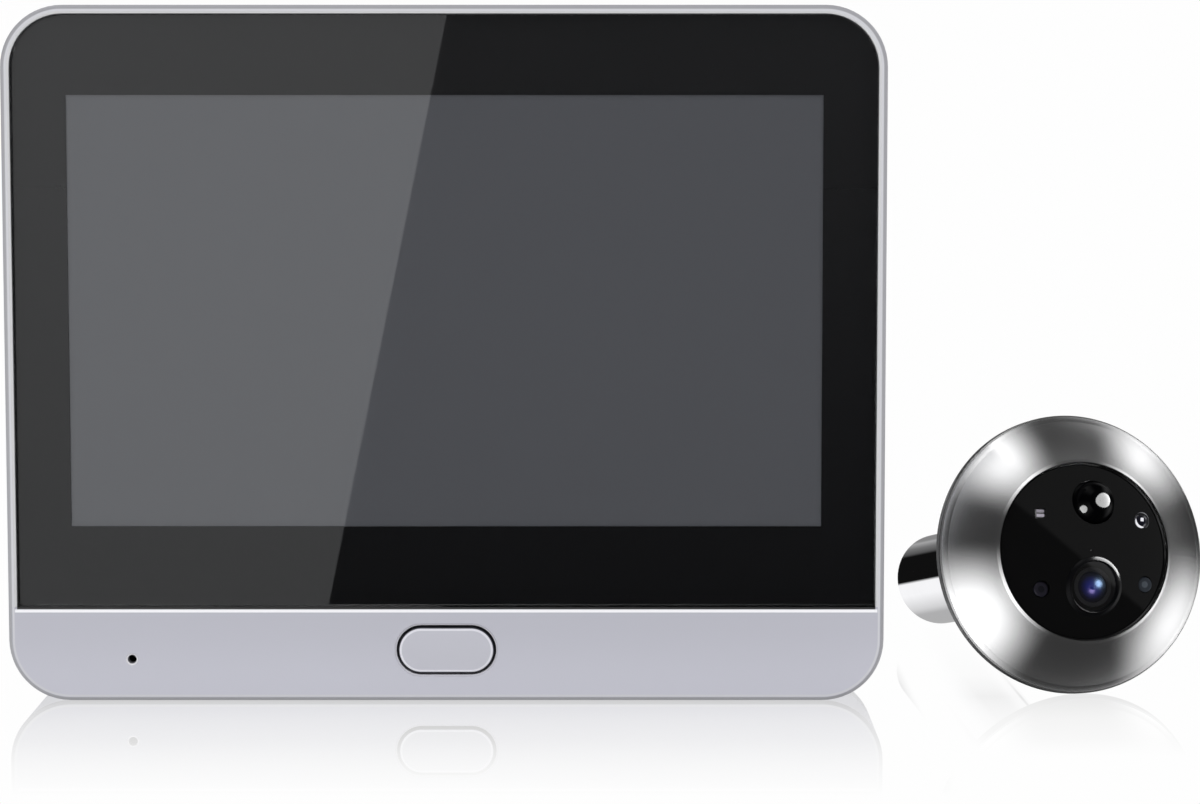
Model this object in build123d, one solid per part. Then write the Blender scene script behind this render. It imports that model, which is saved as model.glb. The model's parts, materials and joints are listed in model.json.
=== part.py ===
from build123d import *
import math
import os

# Peephole door camera: the indoor monitor standing on its base, its door bracket hooked on behind,
# and the outdoor camera head lying beside it on its flange and barrel.
# Millimetres. +X is right as the screen is seen, the screen faces -Y, +Z is up.
# The origin is the middle of the monitor's flat base.

# Clearances and cuts
slip = 0.05  # between fixed pieces that seat in each other
play = 0.3  # between pieces that move past each other
overrun = 1.0  # how far a cut runs past the face it opens

# Monitor casing
case_w = 111.0
case_h = 88.0
case_d = 17.0
case_r = 7.8
wall = 1.8
back_t = 1.6
seam_margin = 1.4  # from the charging socket to the seam
rim_w = 1.1
rim_round = 0.45
rim_chamfer = 0.25
rear_round = 1.4
seam_chamfer = 0.2
chin_h = 12.0
chin_t = 1.5
ledge_t = 1.2
chin_rib = 1.0

# Glass and display
glass_t = 1.1
glass_sink = 0.2
glass_bevel = 0.15
glue_t = 0.03  # clear glue between the glass and its printed border
mask_t = 0.17
view_side_margin = 6.85
view_end_margin = 10.15
lcd_side_gap = 0.95
lcd_end_margin = 3.85
cell_t = 1.2
cell_margin = 1.2
tray_t = 2.9
lcd_gap = 0.2
plate_t = 0.5
plate_side_margin = 1.75
plate_end_margin = 2.6

# Home button and its switch
button_w = 12.1
button_h = 5.8
button_z = 6.5
button_gap = 0.28
button_proud = 0.12
button_round = 0.35
button_lip = 1.2
button_lip_t = 0.8
button_lip_gap = 0.15
button_boss_len = 0.34
button_travel = 0.35
tact_w = 6.0
tact_round = 0.4
plunger_r = 1.6
plunger_len = 1.5
plunger_proud = 0.65
plunger_gap = 0.06
plunger_fit = 0.06
plunger_room = 0.25
dome_t = 0.12

# Microphone
mic_inset = 15.6
mic_z = 5.3
mic_hole_r = 0.55
mic_channel_r = 0.8
mic_w = 3.0
mic_len = 4.0
mic_t = 0.9
boot_r = 2.6
boot_boss_t = 0.9
boot_boss_len = 1.6

# Main circuit board
board_side_gap = 1.1
board_t = 1.2
board_gap = 1.0
board_floor = 3.0
board_top_inset = 4.0
notch_w = 6.4
notch_h = 9.0
standoff_r = 2.2
standoff_side_inset = 7.0
standoff_end_inset = 4.5
board_screw_r = 0.65
board_screw_hole_r = 0.9
board_screw_head_r = 1.5
board_screw_head_t = 0.8

# Screws that close the casing
case_screw_inset = 5.2
case_screw_low_z = 7.2
case_screw_top_inset = 6.6
case_screw_r = 1.0
case_screw_hole_r = 1.25
case_screw_head_r = 2.0
case_screw_head_t = 1.2
case_screw_len = 6.0
case_screw_floor_t = 1.4
case_boss_r = 2.6
case_boss_len = 4.8
case_tube_r = 3.2
head_room = 0.3
cross_w = 0.5
cross_share = 0.6

# Battery, its bay and its cover
bay_side_room = 25.7  # from the bay to the side walls
bay_floor_z = 6.0
bay_top_gap = 1.5
bay_wall = 1.2
bay_board_gap = 1.2
bay_base_t = 1.0
battery_side_gap = 1.5
battery_top_gap = 0.15
battery_base_gap = 0.1
battery_lid_gap = 0.4
battery_round = 1.2
contact_w = 1.6
contact_pitch = 4.0
contact_h = 2.4
contact_len = 1.5
cover_gap = 0.35
cover_t = 1.6
hinge_r = 1.15
hinge_gap = 0.35
hinge_pin_r = 0.5
hinge_pin_len = 5.0
hinge_pin_bury = 0.9
nail_w = 12.0
nail_h = 2.4
nail_depth = 1.1

# Door bracket
bracket_w = 66.0
bracket_h = 34.0
bracket_t = 1.5
bracket_r = 3.0
bracket_proud = 0.3
bracket_top_inset = 4.5
bracket_travel = 5.0
bracket_gap = 0.5
bracket_hole_r = 8.0
bracket_screw_dx = 36.0
bracket_screw_dz = 24.0
bracket_screw_r = 2.1
recess_depth = 2.2
recess_floor_t = 1.4
hook_side_inset = 4.5
hook_end_inset = 6.0
hook_w = 5.0
hook_t = 1.6
hook_tip_t = 1.2
hook_tip_h = 3.0
ribbon_w = 17.0
ribbon_h = 6.0

# Ribbon socket for the camera head
socket_w = 12.0
socket_h = 4.2
socket_len = 4.6
socket_wall = 0.6
socket_depth = 3.4

# Sockets and switch on the sides
usb_z = 30.0
usb_w = 7.4
usb_h = 2.6
usb_len = 5.4
usb_wall = 0.35
usb_tongue_t = 0.6
card_z = 52.0
card_w = 11.6
card_len = 12.0
card_h = 1.6
card_wall = 0.3
card_mouth_h = 1.0
port_gap = 0.35
port_sink = 0.5
port_round = 0.9
switch_z = 34.0
switch_w = 8.4
switch_h = 2.6
switch_len = 3.6
knob_w = 2.4
knob_h = 1.5
knob_sink = 0.25
knob_travel = 2.0
knob_bury = 1.6
knob_ridges = 3
knob_ridge_depth = 0.15

# Loudspeaker
speaker_r = 9.6
speaker_t = 2.6
speaker_lip = 1.2
cone_gap = 0.8
cone_t = 0.4
magnet_r = 5.0
magnet_t = 1.8
seat_t = 0.9
grille_slots = 5
grille_pitch = 2.6
grille_slot_w = 1.1
grille_slot_len = 13.0
grille_step = 1.6

# Parts on the main board; each drop is measured from the middle of the ribbon socket
chip_x = -14.0
chip_drop = 6.5
chip_w = 14.0
chip_t = 1.2
memory_pitch = 22.0  # from the processor
memory_drop = 1.3
memory_w = 11.5
memory_h = 13.0
memory_t = 1.0
can_x = 6.0
can_drop = 10.5
can_w = 16.0
can_h = 12.0
can_t = 2.2
can_wall = 0.3
coil_count = 4
coil_inset = 8.1  # from the board's right edge
coil_w = 4.0
coil_t = 1.8
cap_r = 1.5
cap_t = 1.7
lead_w = 24.0
lead_t = 0.2
lead_bend_r = 1.0
lead_drop = 1.6
lead_socket_drop = 0.85
lead_socket_h = 2.6
lead_socket_t = 0.8

# Camera head: its place and how it lies
head_gap = 24.4  # from the casing's side to the head's axis
head_y = 0.0
head_turn = 13.6  # degrees to the right of straight ahead
head_roll = -4.3  # degrees about its own axis

# Camera head: turned metal
flange_step = 0.9
flange_t = 1.6
flange_edge = 0.15
flange_front_round = 0.4
bezel_w = 5.7
bezel_edge_h = 0.5
bezel_bulge = 0.3
bezel_lip_w = 0.4
bezel_lip_h = 0.25
bezel_cavity_w = 1.9  # out from the window's edge
bezel_seat_w = 0.95
bezel_seat_t = 0.9
barrel_r = 6.4
barrel_len = 50.0
barrel_wall = 0.9
barrel_thread_wall = 1.2
barrel_thread_len = 14.0
barrel_collar_w = 1.6
barrel_collar_t = 1.0
barrel_neck_w = 0.25  # relief under the collar, as deep as the gasket
barrel_chamfer = 0.3
gasket_inset = 1.0
gasket_hole_gap = 0.8
gasket_t = 1.0
head_screw_inset = 2.0
head_screw_count = 3
head_screw_r = 0.9
head_screw_head_r = 1.7
head_screw_len = 3.0
head_screw_start = 90.0

# Camera head: window and what looks through it
window_r = 11.3
window_t = 1.2
window_dome = 2.5
optics_x = 0.7  # the column of the lens and the motion sensor, right of the window's centre
pir_inset = 5.15  # from the window's edge
pir_r = 2.8
pir_sink = 0.5
pir_wall = 0.6
pir_lip = 0.5
pir_lip_t = 0.5
pir_chip_w = 4.4
pir_chip_t = 1.7
lens_inset = 6.7  # from the window's edge
lens_ring_r = 3.75
lens_ring_mouth_r = 3.3
lens_ring_throat_r = 2.65
lens_ring_sink = 0.25
lens_ring_len = 1.9
lens_barrel_r = 2.5
lens_barrel_sink = 0.7
lens_focus_gap = 0.3
lens_stop_r = 1.75
lens_glass_t = 0.9
lens_dome = 0.35
lens_rim_w = 0.25
holder_w = 7.6
holder_base_t = 1.9
holder_tube_r = 3.15
holder_tube_len = 0.5
holder_wall = 0.7
sensor_w = 6.0
sensor_t = 0.6
filter_t = 0.3
white_led_inset = 3.83  # from the window's edge, as for the other lamps
white_led_y = 4.13
light_sensor_inset = 5.0
light_sensor_y = 4.5
infrared_left_inset = 5.15
infrared_left_y = -5.1
infrared_right_inset = 3.3
infrared_right_y = -4.0
led_r = 1.0
led_sink = 0.15
led_foot_r = 1.25
led_foot_t = 0.6
light_w = 1.3
light_h = 1.1
head_board_side_gap = 0.5
head_board_t = 0.8
head_board_gap = 0.5
head_post_r = 1.2
head_post_inset = 1.7
head_post_start = 0.0
head_board_screw_r = 0.5
head_board_screw_head_r = 0.95
head_board_screw_head_t = 0.4
head_board_screw_len = 2.2
head_board_room = 0.1
head_socket_w = 7.0
head_socket_h = 2.4
head_socket_t = 1.2


def mid(pair):
    """Middle of a (low, high) pair."""
    return (pair[0] + pair[1]) / 2


def span(pair):
    """Length of a (low, high) pair."""
    return pair[1] - pair[0]


def grow(pair, by):
    """The pair made longer by the same amount at each end."""
    return (pair[0] - by, pair[1] + by)


def centred(middle, length):
    """The pair of a length about its middle."""
    return (middle - length / 2, middle + length / 2)


def block(x, y, z):
    """Box between three (low, high) pairs."""
    return Pos(mid(x), mid(y), mid(z)) * Box(span(x), span(y), span(z))


def outline(x, z, r=0):
    """Rectangle in X and Z, with round corners if r is given."""
    flat = RectangleRounded(span(x), span(z), r) if r else Rectangle(span(x), span(z))
    return Pos(mid(x), mid(z)) * flat


def slab(flat, y):
    """An outline drawn in X and Z, made solid between two Y values."""
    back = Plane(origin=(0, y[1], 0), x_dir=(1, 0, 0), z_dir=(0, -1, 0))
    return extrude(back * flat, span(y))


def peg(x, z, r, y):
    """Round bar along Y."""
    return Pos(x, mid(y), z) * Rot(X=90) * Cylinder(r, span(y))


def disc(r, z):
    """Round bar along the camera head's own axis."""
    return Pos(0, 0, mid(z)) * Cylinder(r, span(z))


def spin(points):
    """Closed (radius, height) outline turned about the camera head's own axis."""
    flat = make_face(Polyline(*points, close=True))
    return revolve(Plane.XZ * flat, Axis.Z)


def front_edges(body):
    """Edges round a piece's foremost face."""
    return body.faces().sort_by(Axis.Y)[0].outer_wire().edges()


def back_edges(body):
    """Edges round a piece's rearmost face."""
    return body.faces().sort_by(Axis.Y)[-1].outer_wire().edges()


def dome_height(x, y):
    """Height of the window's outer face above the flange's back, at a place on it."""
    return dome_z + math.sqrt(dome_r**2 - x**2 - y**2)


# Places worked out from the sizes above
case_x = centred(0, case_w)
case_y = centred(0, case_d)
case_z = (0, case_h)
inner_x = grow(case_x, -wall)

glass_x = grow(case_x, -rim_w)
glass_z = (chin_h, case_h - rim_w)
glass_y = (case_y[0] + glass_sink, case_y[0] + glass_sink + glass_t)
mask_y = (glass_y[1] + glue_t, glass_y[1] + glue_t + mask_t)
ledge_y = (mask_y[1], mask_y[1] + ledge_t)
screen_z = mid(glass_z)
view_x = grow(glass_x, -view_side_margin)
view_z = grow(glass_z, -view_end_margin)
lcd_x = grow(inner_x, -lcd_side_gap)
lcd_z = grow(glass_z, -lcd_end_margin)
cell_y = (mask_y[1], mask_y[1] + cell_t)
tray_y = (mask_y[1], mask_y[1] + tray_t)
plate_x = grow(lcd_x, -plate_side_margin)
plate_z = grow(lcd_z, -plate_end_margin)
plate_y = (tray_y[1], tray_y[1] + plate_t)
board_y = (plate_y[1] + board_gap, plate_y[1] + board_gap + board_t)
board_x = grow(inner_x, -board_side_gap)
board_z = (board_floor, case_h - board_top_inset)
usb_y = (board_y[1], board_y[1] + usb_h)
seam_y = usb_y[1] + seam_margin
mic_x = case_x[0] + mic_inset

chin_back_y = case_y[0] + chin_t
lip_y = (chin_back_y + button_lip_gap, chin_back_y + button_lip_gap + button_lip_t)
plunger_tip_y = lip_y[1] + button_boss_len + plunger_gap
tact_y = (plunger_tip_y + plunger_proud, board_y[0])
plunger_y = (plunger_tip_y, plunger_tip_y + plunger_len)
tact_floor_y = plunger_y[1] + button_travel + plunger_room

case_screw_x = case_x[1] - case_screw_inset
case_screw_places = [
    (side * case_screw_x, z)
    for side in (-1, 1)
    for z in (case_screw_low_z, case_h - case_screw_top_inset)
]
case_boss_y = (seam_y - case_boss_len, seam_y)
case_head_y = seam_y + case_screw_floor_t
standoff_places = [
    (x, z)
    for x in grow(plate_x, -standoff_side_inset)
    for z in grow(plate_z, -standoff_end_inset)
]

bracket_y = (case_y[1] + bracket_proud - bracket_t, case_y[1] + bracket_proud)
bracket_x = centred(0, bracket_w)
bracket_top_z = case_h - bracket_top_inset
plate_span_z = (bracket_top_z - bracket_h, bracket_top_z)
bracket_z = mid(plate_span_z)
recess_y = case_y[1] - recess_depth
recess_x = grow(bracket_x, bracket_gap)
recess_z = (plate_span_z[0] - bracket_travel - bracket_gap, plate_span_z[1] + bracket_gap)
recess_floor_y = (recess_y - recess_floor_t, recess_y)
hook_tip_y = (recess_floor_y[0] - play - hook_tip_t, recess_floor_y[0] - play)
hook_places = [
    (x, z) for x in grow(bracket_x, -hook_side_inset) for z in grow(plate_span_z, -hook_end_inset)
]

bay_x = grow(inner_x, -bay_side_room)
bay_z = (bay_floor_z, recess_z[0] - bay_top_gap)
bay_y = (board_y[1] + bay_board_gap + bay_base_t, case_y[1])
cover_y = (case_y[1] - cover_t, case_y[1])
hinge_y = case_y[1] - hinge_r - slip
hinge_z = bay_z[1] - hinge_r - hinge_gap
cover_x = grow(bay_x, -cover_gap)
cover_z = (bay_floor_z + cover_gap, hinge_z)
battery_x = grow(bay_x, -battery_side_gap)
battery_y = (bay_y[0] + battery_base_gap, cover_y[0] - battery_lid_gap)
battery_z = (bay_floor_z + contact_len, hinge_z - hinge_r - battery_top_gap)

lead_socket_low_z = lcd_z[0] - lead_socket_drop
lead_socket_z = (lead_socket_low_z, lead_socket_low_z + lead_socket_h)
lead_socket_y = (board_y[0] - lead_socket_t, board_y[0])
lead_rear_y = mid(lead_socket_y) + lead_t / 2
lead_y = (lead_rear_y - 2 * lead_bend_r, lead_rear_y)

card_y = (board_y[1], board_y[1] + card_h)
port_x = case_x[0] + port_sink
switch_y = (board_y[1], board_y[1] + switch_h)
knob_y = centred(mid(switch_y), knob_h)
knob_x = case_x[1] - knob_sink
knob_room_z = (switch_z - knob_w / 2 - play, switch_z + knob_w / 2 + knob_travel + play)
switch_x = (board_x[1] - switch_len, board_x[1])

chip_z = bracket_z - chip_drop
memory_x = chip_x - memory_pitch
memory_z = bracket_z - memory_drop
can_z = bracket_z - can_drop

speaker_x = (inner_x[0] + bay_x[0] - bay_wall) / 2
speaker_z = mid(bay_z)
speaker_y = (case_y[1] - back_t - speaker_t, case_y[1] - back_t)
cone_r = speaker_r - speaker_lip - cone_gap

bezel_r = window_r + bezel_w
flange_r = bezel_r + flange_step
bezel_cavity_r = window_r + bezel_cavity_w
gasket_r = flange_r - gasket_inset
gasket_hole_r = barrel_r + gasket_hole_gap
barrel_bore_r = barrel_r - barrel_wall
barrel_thread_r = barrel_r - barrel_thread_wall
barrel_collar_r = barrel_r + barrel_collar_w
barrel_neck_r = barrel_r - barrel_neck_w
head_board_r = bezel_cavity_r - head_board_side_gap
head_screw_ring_r = bezel_r - head_screw_inset
head_post_ring_r = head_board_r - head_post_inset

# The head rests on its flange's rear edge and on the end of its barrel
head_x = case_x[1] + head_gap
head_tilt = math.degrees(math.atan((flange_r - barrel_r) / (barrel_len + flange_edge - barrel_chamfer)))
head_rise = flange_r * math.cos(math.radians(head_tilt)) - flange_edge * math.sin(math.radians(head_tilt))
head_place = (
    Pos(head_x, head_y, head_rise) * Rot(Z=head_turn) * Rot(X=90 - head_tilt) * Rot(Z=head_roll)
)

head_board_z = (flange_t + head_board_gap, flange_t + head_board_gap + head_board_t)
cavity_top_z = head_board_z[1] + head_board_screw_head_t + head_board_room
window_z = (cavity_top_z + bezel_seat_t, cavity_top_z + bezel_seat_t + window_t)
window_edge_z = window_z[1]
pir_y = window_r - pir_inset
lens_y = lens_inset - window_r
dome_r = (window_r**2 + window_dome**2) / (2 * window_dome)
dome_z = window_edge_z + window_dome - dome_r
flange_z = (0, flange_t)
collar_z = (flange_t - barrel_collar_t, flange_t)
pir_chip_z = (head_board_z[1], head_board_z[1] + pir_chip_t)
pir_lip_z = (pir_chip_z[1] + slip, pir_chip_z[1] + slip + pir_lip_t)
lens_face_z = dome_height(optics_x, lens_y)
sensor_z = (head_board_z[1], head_board_z[1] + sensor_t)
filter_z = (sensor_z[1], sensor_z[1] + filter_t)
holder_z = (head_board_z[1], head_board_z[1] + holder_base_t)
lens_barrel_z = (filter_z[1] + lens_focus_gap, lens_face_z - lens_barrel_sink)
head_screw_places = [
    (head_screw_ring_r, head_screw_start + 360 * k / head_screw_count) for k in range(head_screw_count)
]
head_post_places = [
    (head_post_ring_r, head_post_start + 360 * k / head_screw_count) for k in range(head_screw_count)
]
led_places = {
    "white_led": (window_r - white_led_inset, white_led_y),
    "infrared_low_left": (infrared_left_inset - window_r, infrared_left_y),
    "infrared_low_right": (window_r - infrared_right_inset, infrared_right_y),
    "light_sensor": (light_sensor_inset - window_r, light_sensor_y),
}


def case_outline(inset):
    """The casing's round-cornered outline, drawn in by a distance."""
    return outline(grow(case_x, -inset), grow(case_z, -inset), case_r - inset)


def pane_outline(outset):
    """The glass: round corners at the top, square ones at the chin."""
    x = grow(glass_x, outset)
    z = grow(glass_z, outset)
    rounded = outline(x, (z[0] - case_r, z[1]), case_r - rim_w + outset)
    return rounded & outline(x, z)


def on_ring(radius, angle):
    """Location on the camera head at a radius and an angle in degrees."""
    return Pos(radius * math.cos(math.radians(angle)), radius * math.sin(math.radians(angle)), 0)


def cross_slot(head_r, depth_at, depth):
    """Cross recess of a screw whose head faces +Y, centred on the screw's axis."""
    reach = centred(0, 2 * cross_share * head_r)
    narrow = centred(0, cross_w)
    y = (depth_at - depth, depth_at + overrun)
    return block(reach, y, narrow) + block(narrow, y, reach)


def side_mouth(x, y, z):
    """Round-cornered opening through a side wall."""
    flat = RectangleRounded(span(y), span(z), port_round)
    side = Plane(origin=(x[0], mid(y), mid(z)), x_dir=(0, 1, 0), z_dir=(1, 0, 0))
    return extrude(side * flat, span(x))


def front_frame():
    """Silver front frame: rim, chin and the casing's side walls as far as the seam."""
    body = slab(case_outline(0), (case_y[0], seam_y))
    body = fillet(front_edges(body), rim_round)
    body = chamfer(back_edges(body), seam_chamfer)
    body -= slab(case_outline(wall), (ledge_y[1], seam_y + overrun))
    body -= slab(pane_outline(slip), (case_y[0] - overrun, ledge_y[0]))
    lcd_hole = outline(grow(lcd_x, lcd_gap), grow(lcd_z, lcd_gap))
    body -= slab(lcd_hole, (ledge_y[0] - overrun, ledge_y[1] + overrun))
    chin_room = case_outline(wall) & outline(inner_x, (wall, chin_h - chin_rib))
    body -= slab(chin_room, (chin_back_y, ledge_y[1] + overrun))
    button_hole = Pos(0, button_z) * SlotOverall(
        button_w + 2 * button_gap, button_h + 2 * button_gap
    )
    body -= slab(button_hole, (case_y[0] - overrun, chin_back_y + overrun))
    body += peg(mic_x, mic_z, boot_r + slip + boot_boss_t, (chin_back_y, chin_back_y + boot_boss_len))
    body -= peg(mic_x, mic_z, boot_r + slip, (chin_back_y, chin_back_y + boot_boss_len + overrun))
    body -= peg(mic_x, mic_z, mic_hole_r, (case_y[0] - overrun, chin_back_y + overrun))
    for x, z in case_screw_places:
        web = (x, inner_x[1] + slip) if x > 0 else (inner_x[0] - slip, x)
        body += peg(x, z, case_boss_r, case_boss_y)
        body += block(web, case_boss_y, centred(z, 2 * case_boss_r * cross_share))
        body -= peg(x, z, case_screw_r + slip, grow(case_boss_y, overrun))
    left = (case_x[0] - overrun, inner_x[0] + overrun)
    right = (inner_x[1] - overrun, case_x[1] + overrun)
    body -= side_mouth(left, grow(usb_y, port_gap), grow(centred(usb_z, usb_w), port_gap))
    body -= side_mouth(left, grow(card_y, port_gap), grow(centred(card_z, card_w), port_gap))
    body -= side_mouth(right, grow(knob_y, play), knob_room_z)
    rim = body.faces().sort_by(Axis.Y)[0]
    return chamfer([edge for wire in rim.inner_wires() for edge in wire.edges()], rim_chamfer)


def glass_panel():
    """Front glass, its edge bevelled."""
    pane = slab(pane_outline(0), glass_y)
    return chamfer(front_edges(pane), glass_bevel)


def display_mask():
    """Black border behind the glass, open over the display."""
    return slab(pane_outline(0) - outline(view_x, view_z), mask_y)


def lcd_cell():
    """The liquid crystal panel itself."""
    return slab(outline(grow(lcd_x, -cell_margin), grow(lcd_z, -cell_margin)), cell_y)


def lcd_tray():
    """Backlight in its pressed tray, which wraps the panel's edges."""
    tray = slab(outline(lcd_x, lcd_z), tray_y)
    pocket = outline(grow(lcd_x, slip - cell_margin), grow(lcd_z, slip - cell_margin))
    return tray - slab(pocket, (tray_y[0] - overrun, cell_y[1]))


def support_plate():
    """Steel plate behind the display, with the board's four standoffs."""
    plate = slab(outline(plate_x, plate_z), plate_y)
    for x, z in standoff_places:
        plate += peg(x, z, standoff_r, (plate_y[0], board_y[0]))
        plate -= peg(x, z, board_screw_r + slip, (plate_y[0], board_y[0] + overrun))
    return plate


def main_board():
    """Main circuit board, notched at its corners round the casing's screw bosses."""
    flat = outline(board_x, board_z)
    for x, z in case_screw_places:
        corner = (x - notch_w / 2, case_x[1]) if x > 0 else (case_x[0], x + notch_w / 2)
        level = (0, z + notch_h / 2) if z < screen_z else (z - notch_h / 2, case_h)
        flat -= outline(corner, level)
    board = slab(flat, board_y)
    for x, z in standoff_places:
        board -= peg(x, z, board_screw_hole_r, grow(board_y, overrun))
    return board


def board_screws():
    """Four screws that hold the board to the standoffs."""
    screws = Part()
    for x, z in standoff_places:
        head_y = (board_y[1], board_y[1] + board_screw_head_t)
        screw = peg(x, z, board_screw_head_r, head_y)
        screw += peg(x, z, board_screw_r, (plate_y[0] + slip, board_y[1]))
        slot = cross_slot(board_screw_head_r, head_y[1], board_screw_head_t / 2)
        screws += screw - Pos(x, 0, z) * slot
    return screws


def case_screws():
    """Four screws that pull the rear cover onto the front frame."""
    screws = Part()
    for x, z in case_screw_places:
        head_y = (case_head_y, case_head_y + case_screw_head_t)
        screw = peg(x, z, case_screw_head_r, head_y)
        screw += peg(x, z, case_screw_r, (case_head_y - case_screw_len, case_head_y))
        slot = cross_slot(case_screw_head_r, head_y[1], case_screw_head_t / 2)
        screws += screw - Pos(x, 0, z) * slot
    return screws


def rear_cover():
    """Rear cover with the battery bay, the bracket's recess and the loudspeaker's seat."""
    body = slab(case_outline(0), (seam_y, case_y[1]))
    body = fillet(back_edges(body), rear_round)
    body = chamfer(front_edges(body), seam_chamfer)
    body -= slab(case_outline(wall), (seam_y - overrun, case_y[1] - back_t))
    bay_back = case_y[1] - back_t / 2
    body += block(grow(bay_x, bay_wall), (bay_y[0] - bay_base_t, bay_back), grow(bay_z, bay_wall))
    body += block(grow(recess_x, bay_wall), (recess_floor_y[0], bay_back), grow(recess_z, bay_wall))
    seat_y = (speaker_y[0], case_y[1] - back_t / 2)
    body += peg(speaker_x, speaker_z, speaker_r + slip + seat_t, seat_y)
    body -= peg(speaker_x, speaker_z, speaker_r + slip, (seat_y[0] - overrun, speaker_y[1]))
    for x, z in case_screw_places:
        body += peg(x, z, case_tube_r, (seam_y, bay_back))
        body -= peg(x, z, case_screw_hole_r, (seam_y - overrun, case_y[1] + overrun))
        body -= peg(x, z, case_screw_head_r + head_room, (case_head_y, case_y[1] + overrun))
    body -= block(bay_x, (bay_y[0], case_y[1] + overrun), bay_z)
    nail_y = (case_y[1] - nail_depth, case_y[1] + overrun)
    body -= block(centred(0, nail_w), nail_y, (bay_z[0] - nail_h, bay_z[0] + overrun))
    body -= block(recess_x, (recess_y, case_y[1] + overrun), recess_z)
    through = grow(recess_floor_y, overrun)
    body -= block(centred(0, ribbon_w), through, centred(bracket_z, ribbon_h))
    for x, z in hook_places:
        slot_z = (z - hook_t / 2 - bracket_travel - play, z + hook_t / 2 + play)
        body -= block(centred(x, hook_w + 2 * play), through, slot_z)
    for side in (-1, 1):
        pin_x = sorted((side * bay_x[1], side * (bay_x[1] + hinge_pin_bury + slip)))
        body -= Pos(mid(pin_x), hinge_y, hinge_z) * Rot(Y=90) * Cylinder(hinge_pin_r + slip, span(pin_x))
    for k in range(grille_slots):
        level = k - (grille_slots - 1) / 2
        length = grille_slot_len - grille_step * abs(level)
        flat = Pos(speaker_x, speaker_z + level * grille_pitch) * SlotOverall(length, grille_slot_w)
        body -= slab(flat, (speaker_y[1] - overrun, case_y[1] + overrun))
    return body


def button_cap():
    """Oval home button with the lip that keeps it in the chin."""
    cap_y = (case_y[0] - button_proud, lip_y[1])
    cap = slab(Pos(0, button_z) * SlotOverall(button_w, button_h), cap_y)
    cap = fillet(front_edges(cap), button_round)
    lip = SlotOverall(button_w + 2 * button_lip, button_h + 2 * button_lip)
    cap += slab(Pos(0, button_z) * lip, lip_y)
    return cap + peg(0, button_z, plunger_r, (lip_y[1], plunger_tip_y - plunger_gap))


def tact_switch():
    """Switch body behind the home button."""
    body = slab(outline(centred(0, tact_w), centred(button_z, tact_w), tact_round), tact_y)
    return body - peg(0, button_z, plunger_r + plunger_fit, (tact_y[0] - overrun, tact_floor_y))


def tact_plunger():
    """The switch's plunger."""
    return peg(0, button_z, plunger_r, plunger_y)


def tact_dome():
    """Snap disc at the bottom of the switch."""
    return peg(0, button_z, plunger_r, (tact_floor_y - dome_t, tact_floor_y))


def microphone():
    """Microphone on the main board."""
    return block(centred(mic_x, mic_len), (board_y[0] - mic_t, board_y[0]), centred(mic_z, mic_w))


def microphone_boot():
    """Rubber tube that leads the chin's sound hole to the microphone."""
    boot_y = (chin_back_y, board_y[0] - mic_t)
    return peg(mic_x, mic_z, boot_r, boot_y) - peg(mic_x, mic_z, mic_channel_r, grow(boot_y, overrun))


def lcd_lead():
    """Flat lead folded from the display's lower edge up to the board."""
    low_z = lcd_z[0] - lead_drop
    path = outline((lead_y[0], lead_y[0] + lead_t), (low_z, lcd_z[0]))
    path += outline((lead_y[1] - lead_t, lead_y[1]), (low_z, lead_socket_z[0]))
    bend = Pos(mid(lead_y), low_z) * (Circle(lead_bend_r) - Circle(lead_bend_r - lead_t))
    path += bend & outline(lead_y, (low_z - lead_bend_r, low_z))
    side = Plane(origin=(-lead_w / 2, 0, 0), x_dir=(0, 1, 0), z_dir=(1, 0, 0))
    return extrude(side * path, lead_w)


def lcd_socket():
    """Socket on the board's front that takes the display's lead."""
    return block(centred(0, lead_w + 2 * lead_bend_r), lead_socket_y, lead_socket_z)


def processor():
    """Main processor."""
    return block(centred(chip_x, chip_w), (board_y[1], board_y[1] + chip_t), centred(chip_z, chip_w))


def memory_chip():
    """Memory beside the processor."""
    y = (board_y[1], board_y[1] + memory_t)
    return block(centred(memory_x, memory_w), y, centred(memory_z, memory_h))


def shield_can():
    """Pressed can over the radio circuit."""
    x = centred(can_x, can_w)
    z = centred(can_z, can_h)
    can = block(x, (board_y[1], board_y[1] + can_t), z)
    room = (board_y[1] - overrun, board_y[1] + can_t - can_wall)
    return can - block(grow(x, -can_wall), room, grow(z, -can_wall))


def board_components():
    """Coils and capacitors of the power circuit, in a row below the ribbon socket."""
    parts = Part()
    pitch = coil_w + cap_r
    for k in range(coil_count):
        x = board_x[1] - coil_inset - k * pitch
        y = (board_y[1], board_y[1] + coil_t)
        parts += slab(outline(centred(x, coil_w), centred(can_z, coil_w), coil_w / 4), y)
        parts += peg(x, can_z + coil_w + cap_r, cap_r, (board_y[1], board_y[1] + cap_t))
    return parts


def ribbon_socket():
    """Socket behind the rear cover's window, for the camera head's flat lead."""
    x = centred(0, socket_w)
    z = centred(bracket_z, socket_h)
    y = (board_y[1], board_y[1] + socket_len)
    mouth = (y[1] - socket_depth, y[1] + overrun)
    return block(x, y, z) - block(grow(x, -socket_wall), mouth, grow(z, -socket_wall))


def usb_socket():
    """Charging socket: a folded shell with its tongue."""
    x = (port_x, port_x + usb_len)
    z = centred(usb_z, usb_w)
    mouth = (x[0] - overrun, x[1] - usb_len / 4)
    shell = block(x, usb_y, z)
    shell -= block(mouth, grow(usb_y, -usb_wall), grow(z, -usb_wall))
    tongue = (x[0] + usb_wall, mouth[1])
    return shell + block(tongue, centred(mid(usb_y), usb_tongue_t), grow(z, -usb_w / 5))


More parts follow.
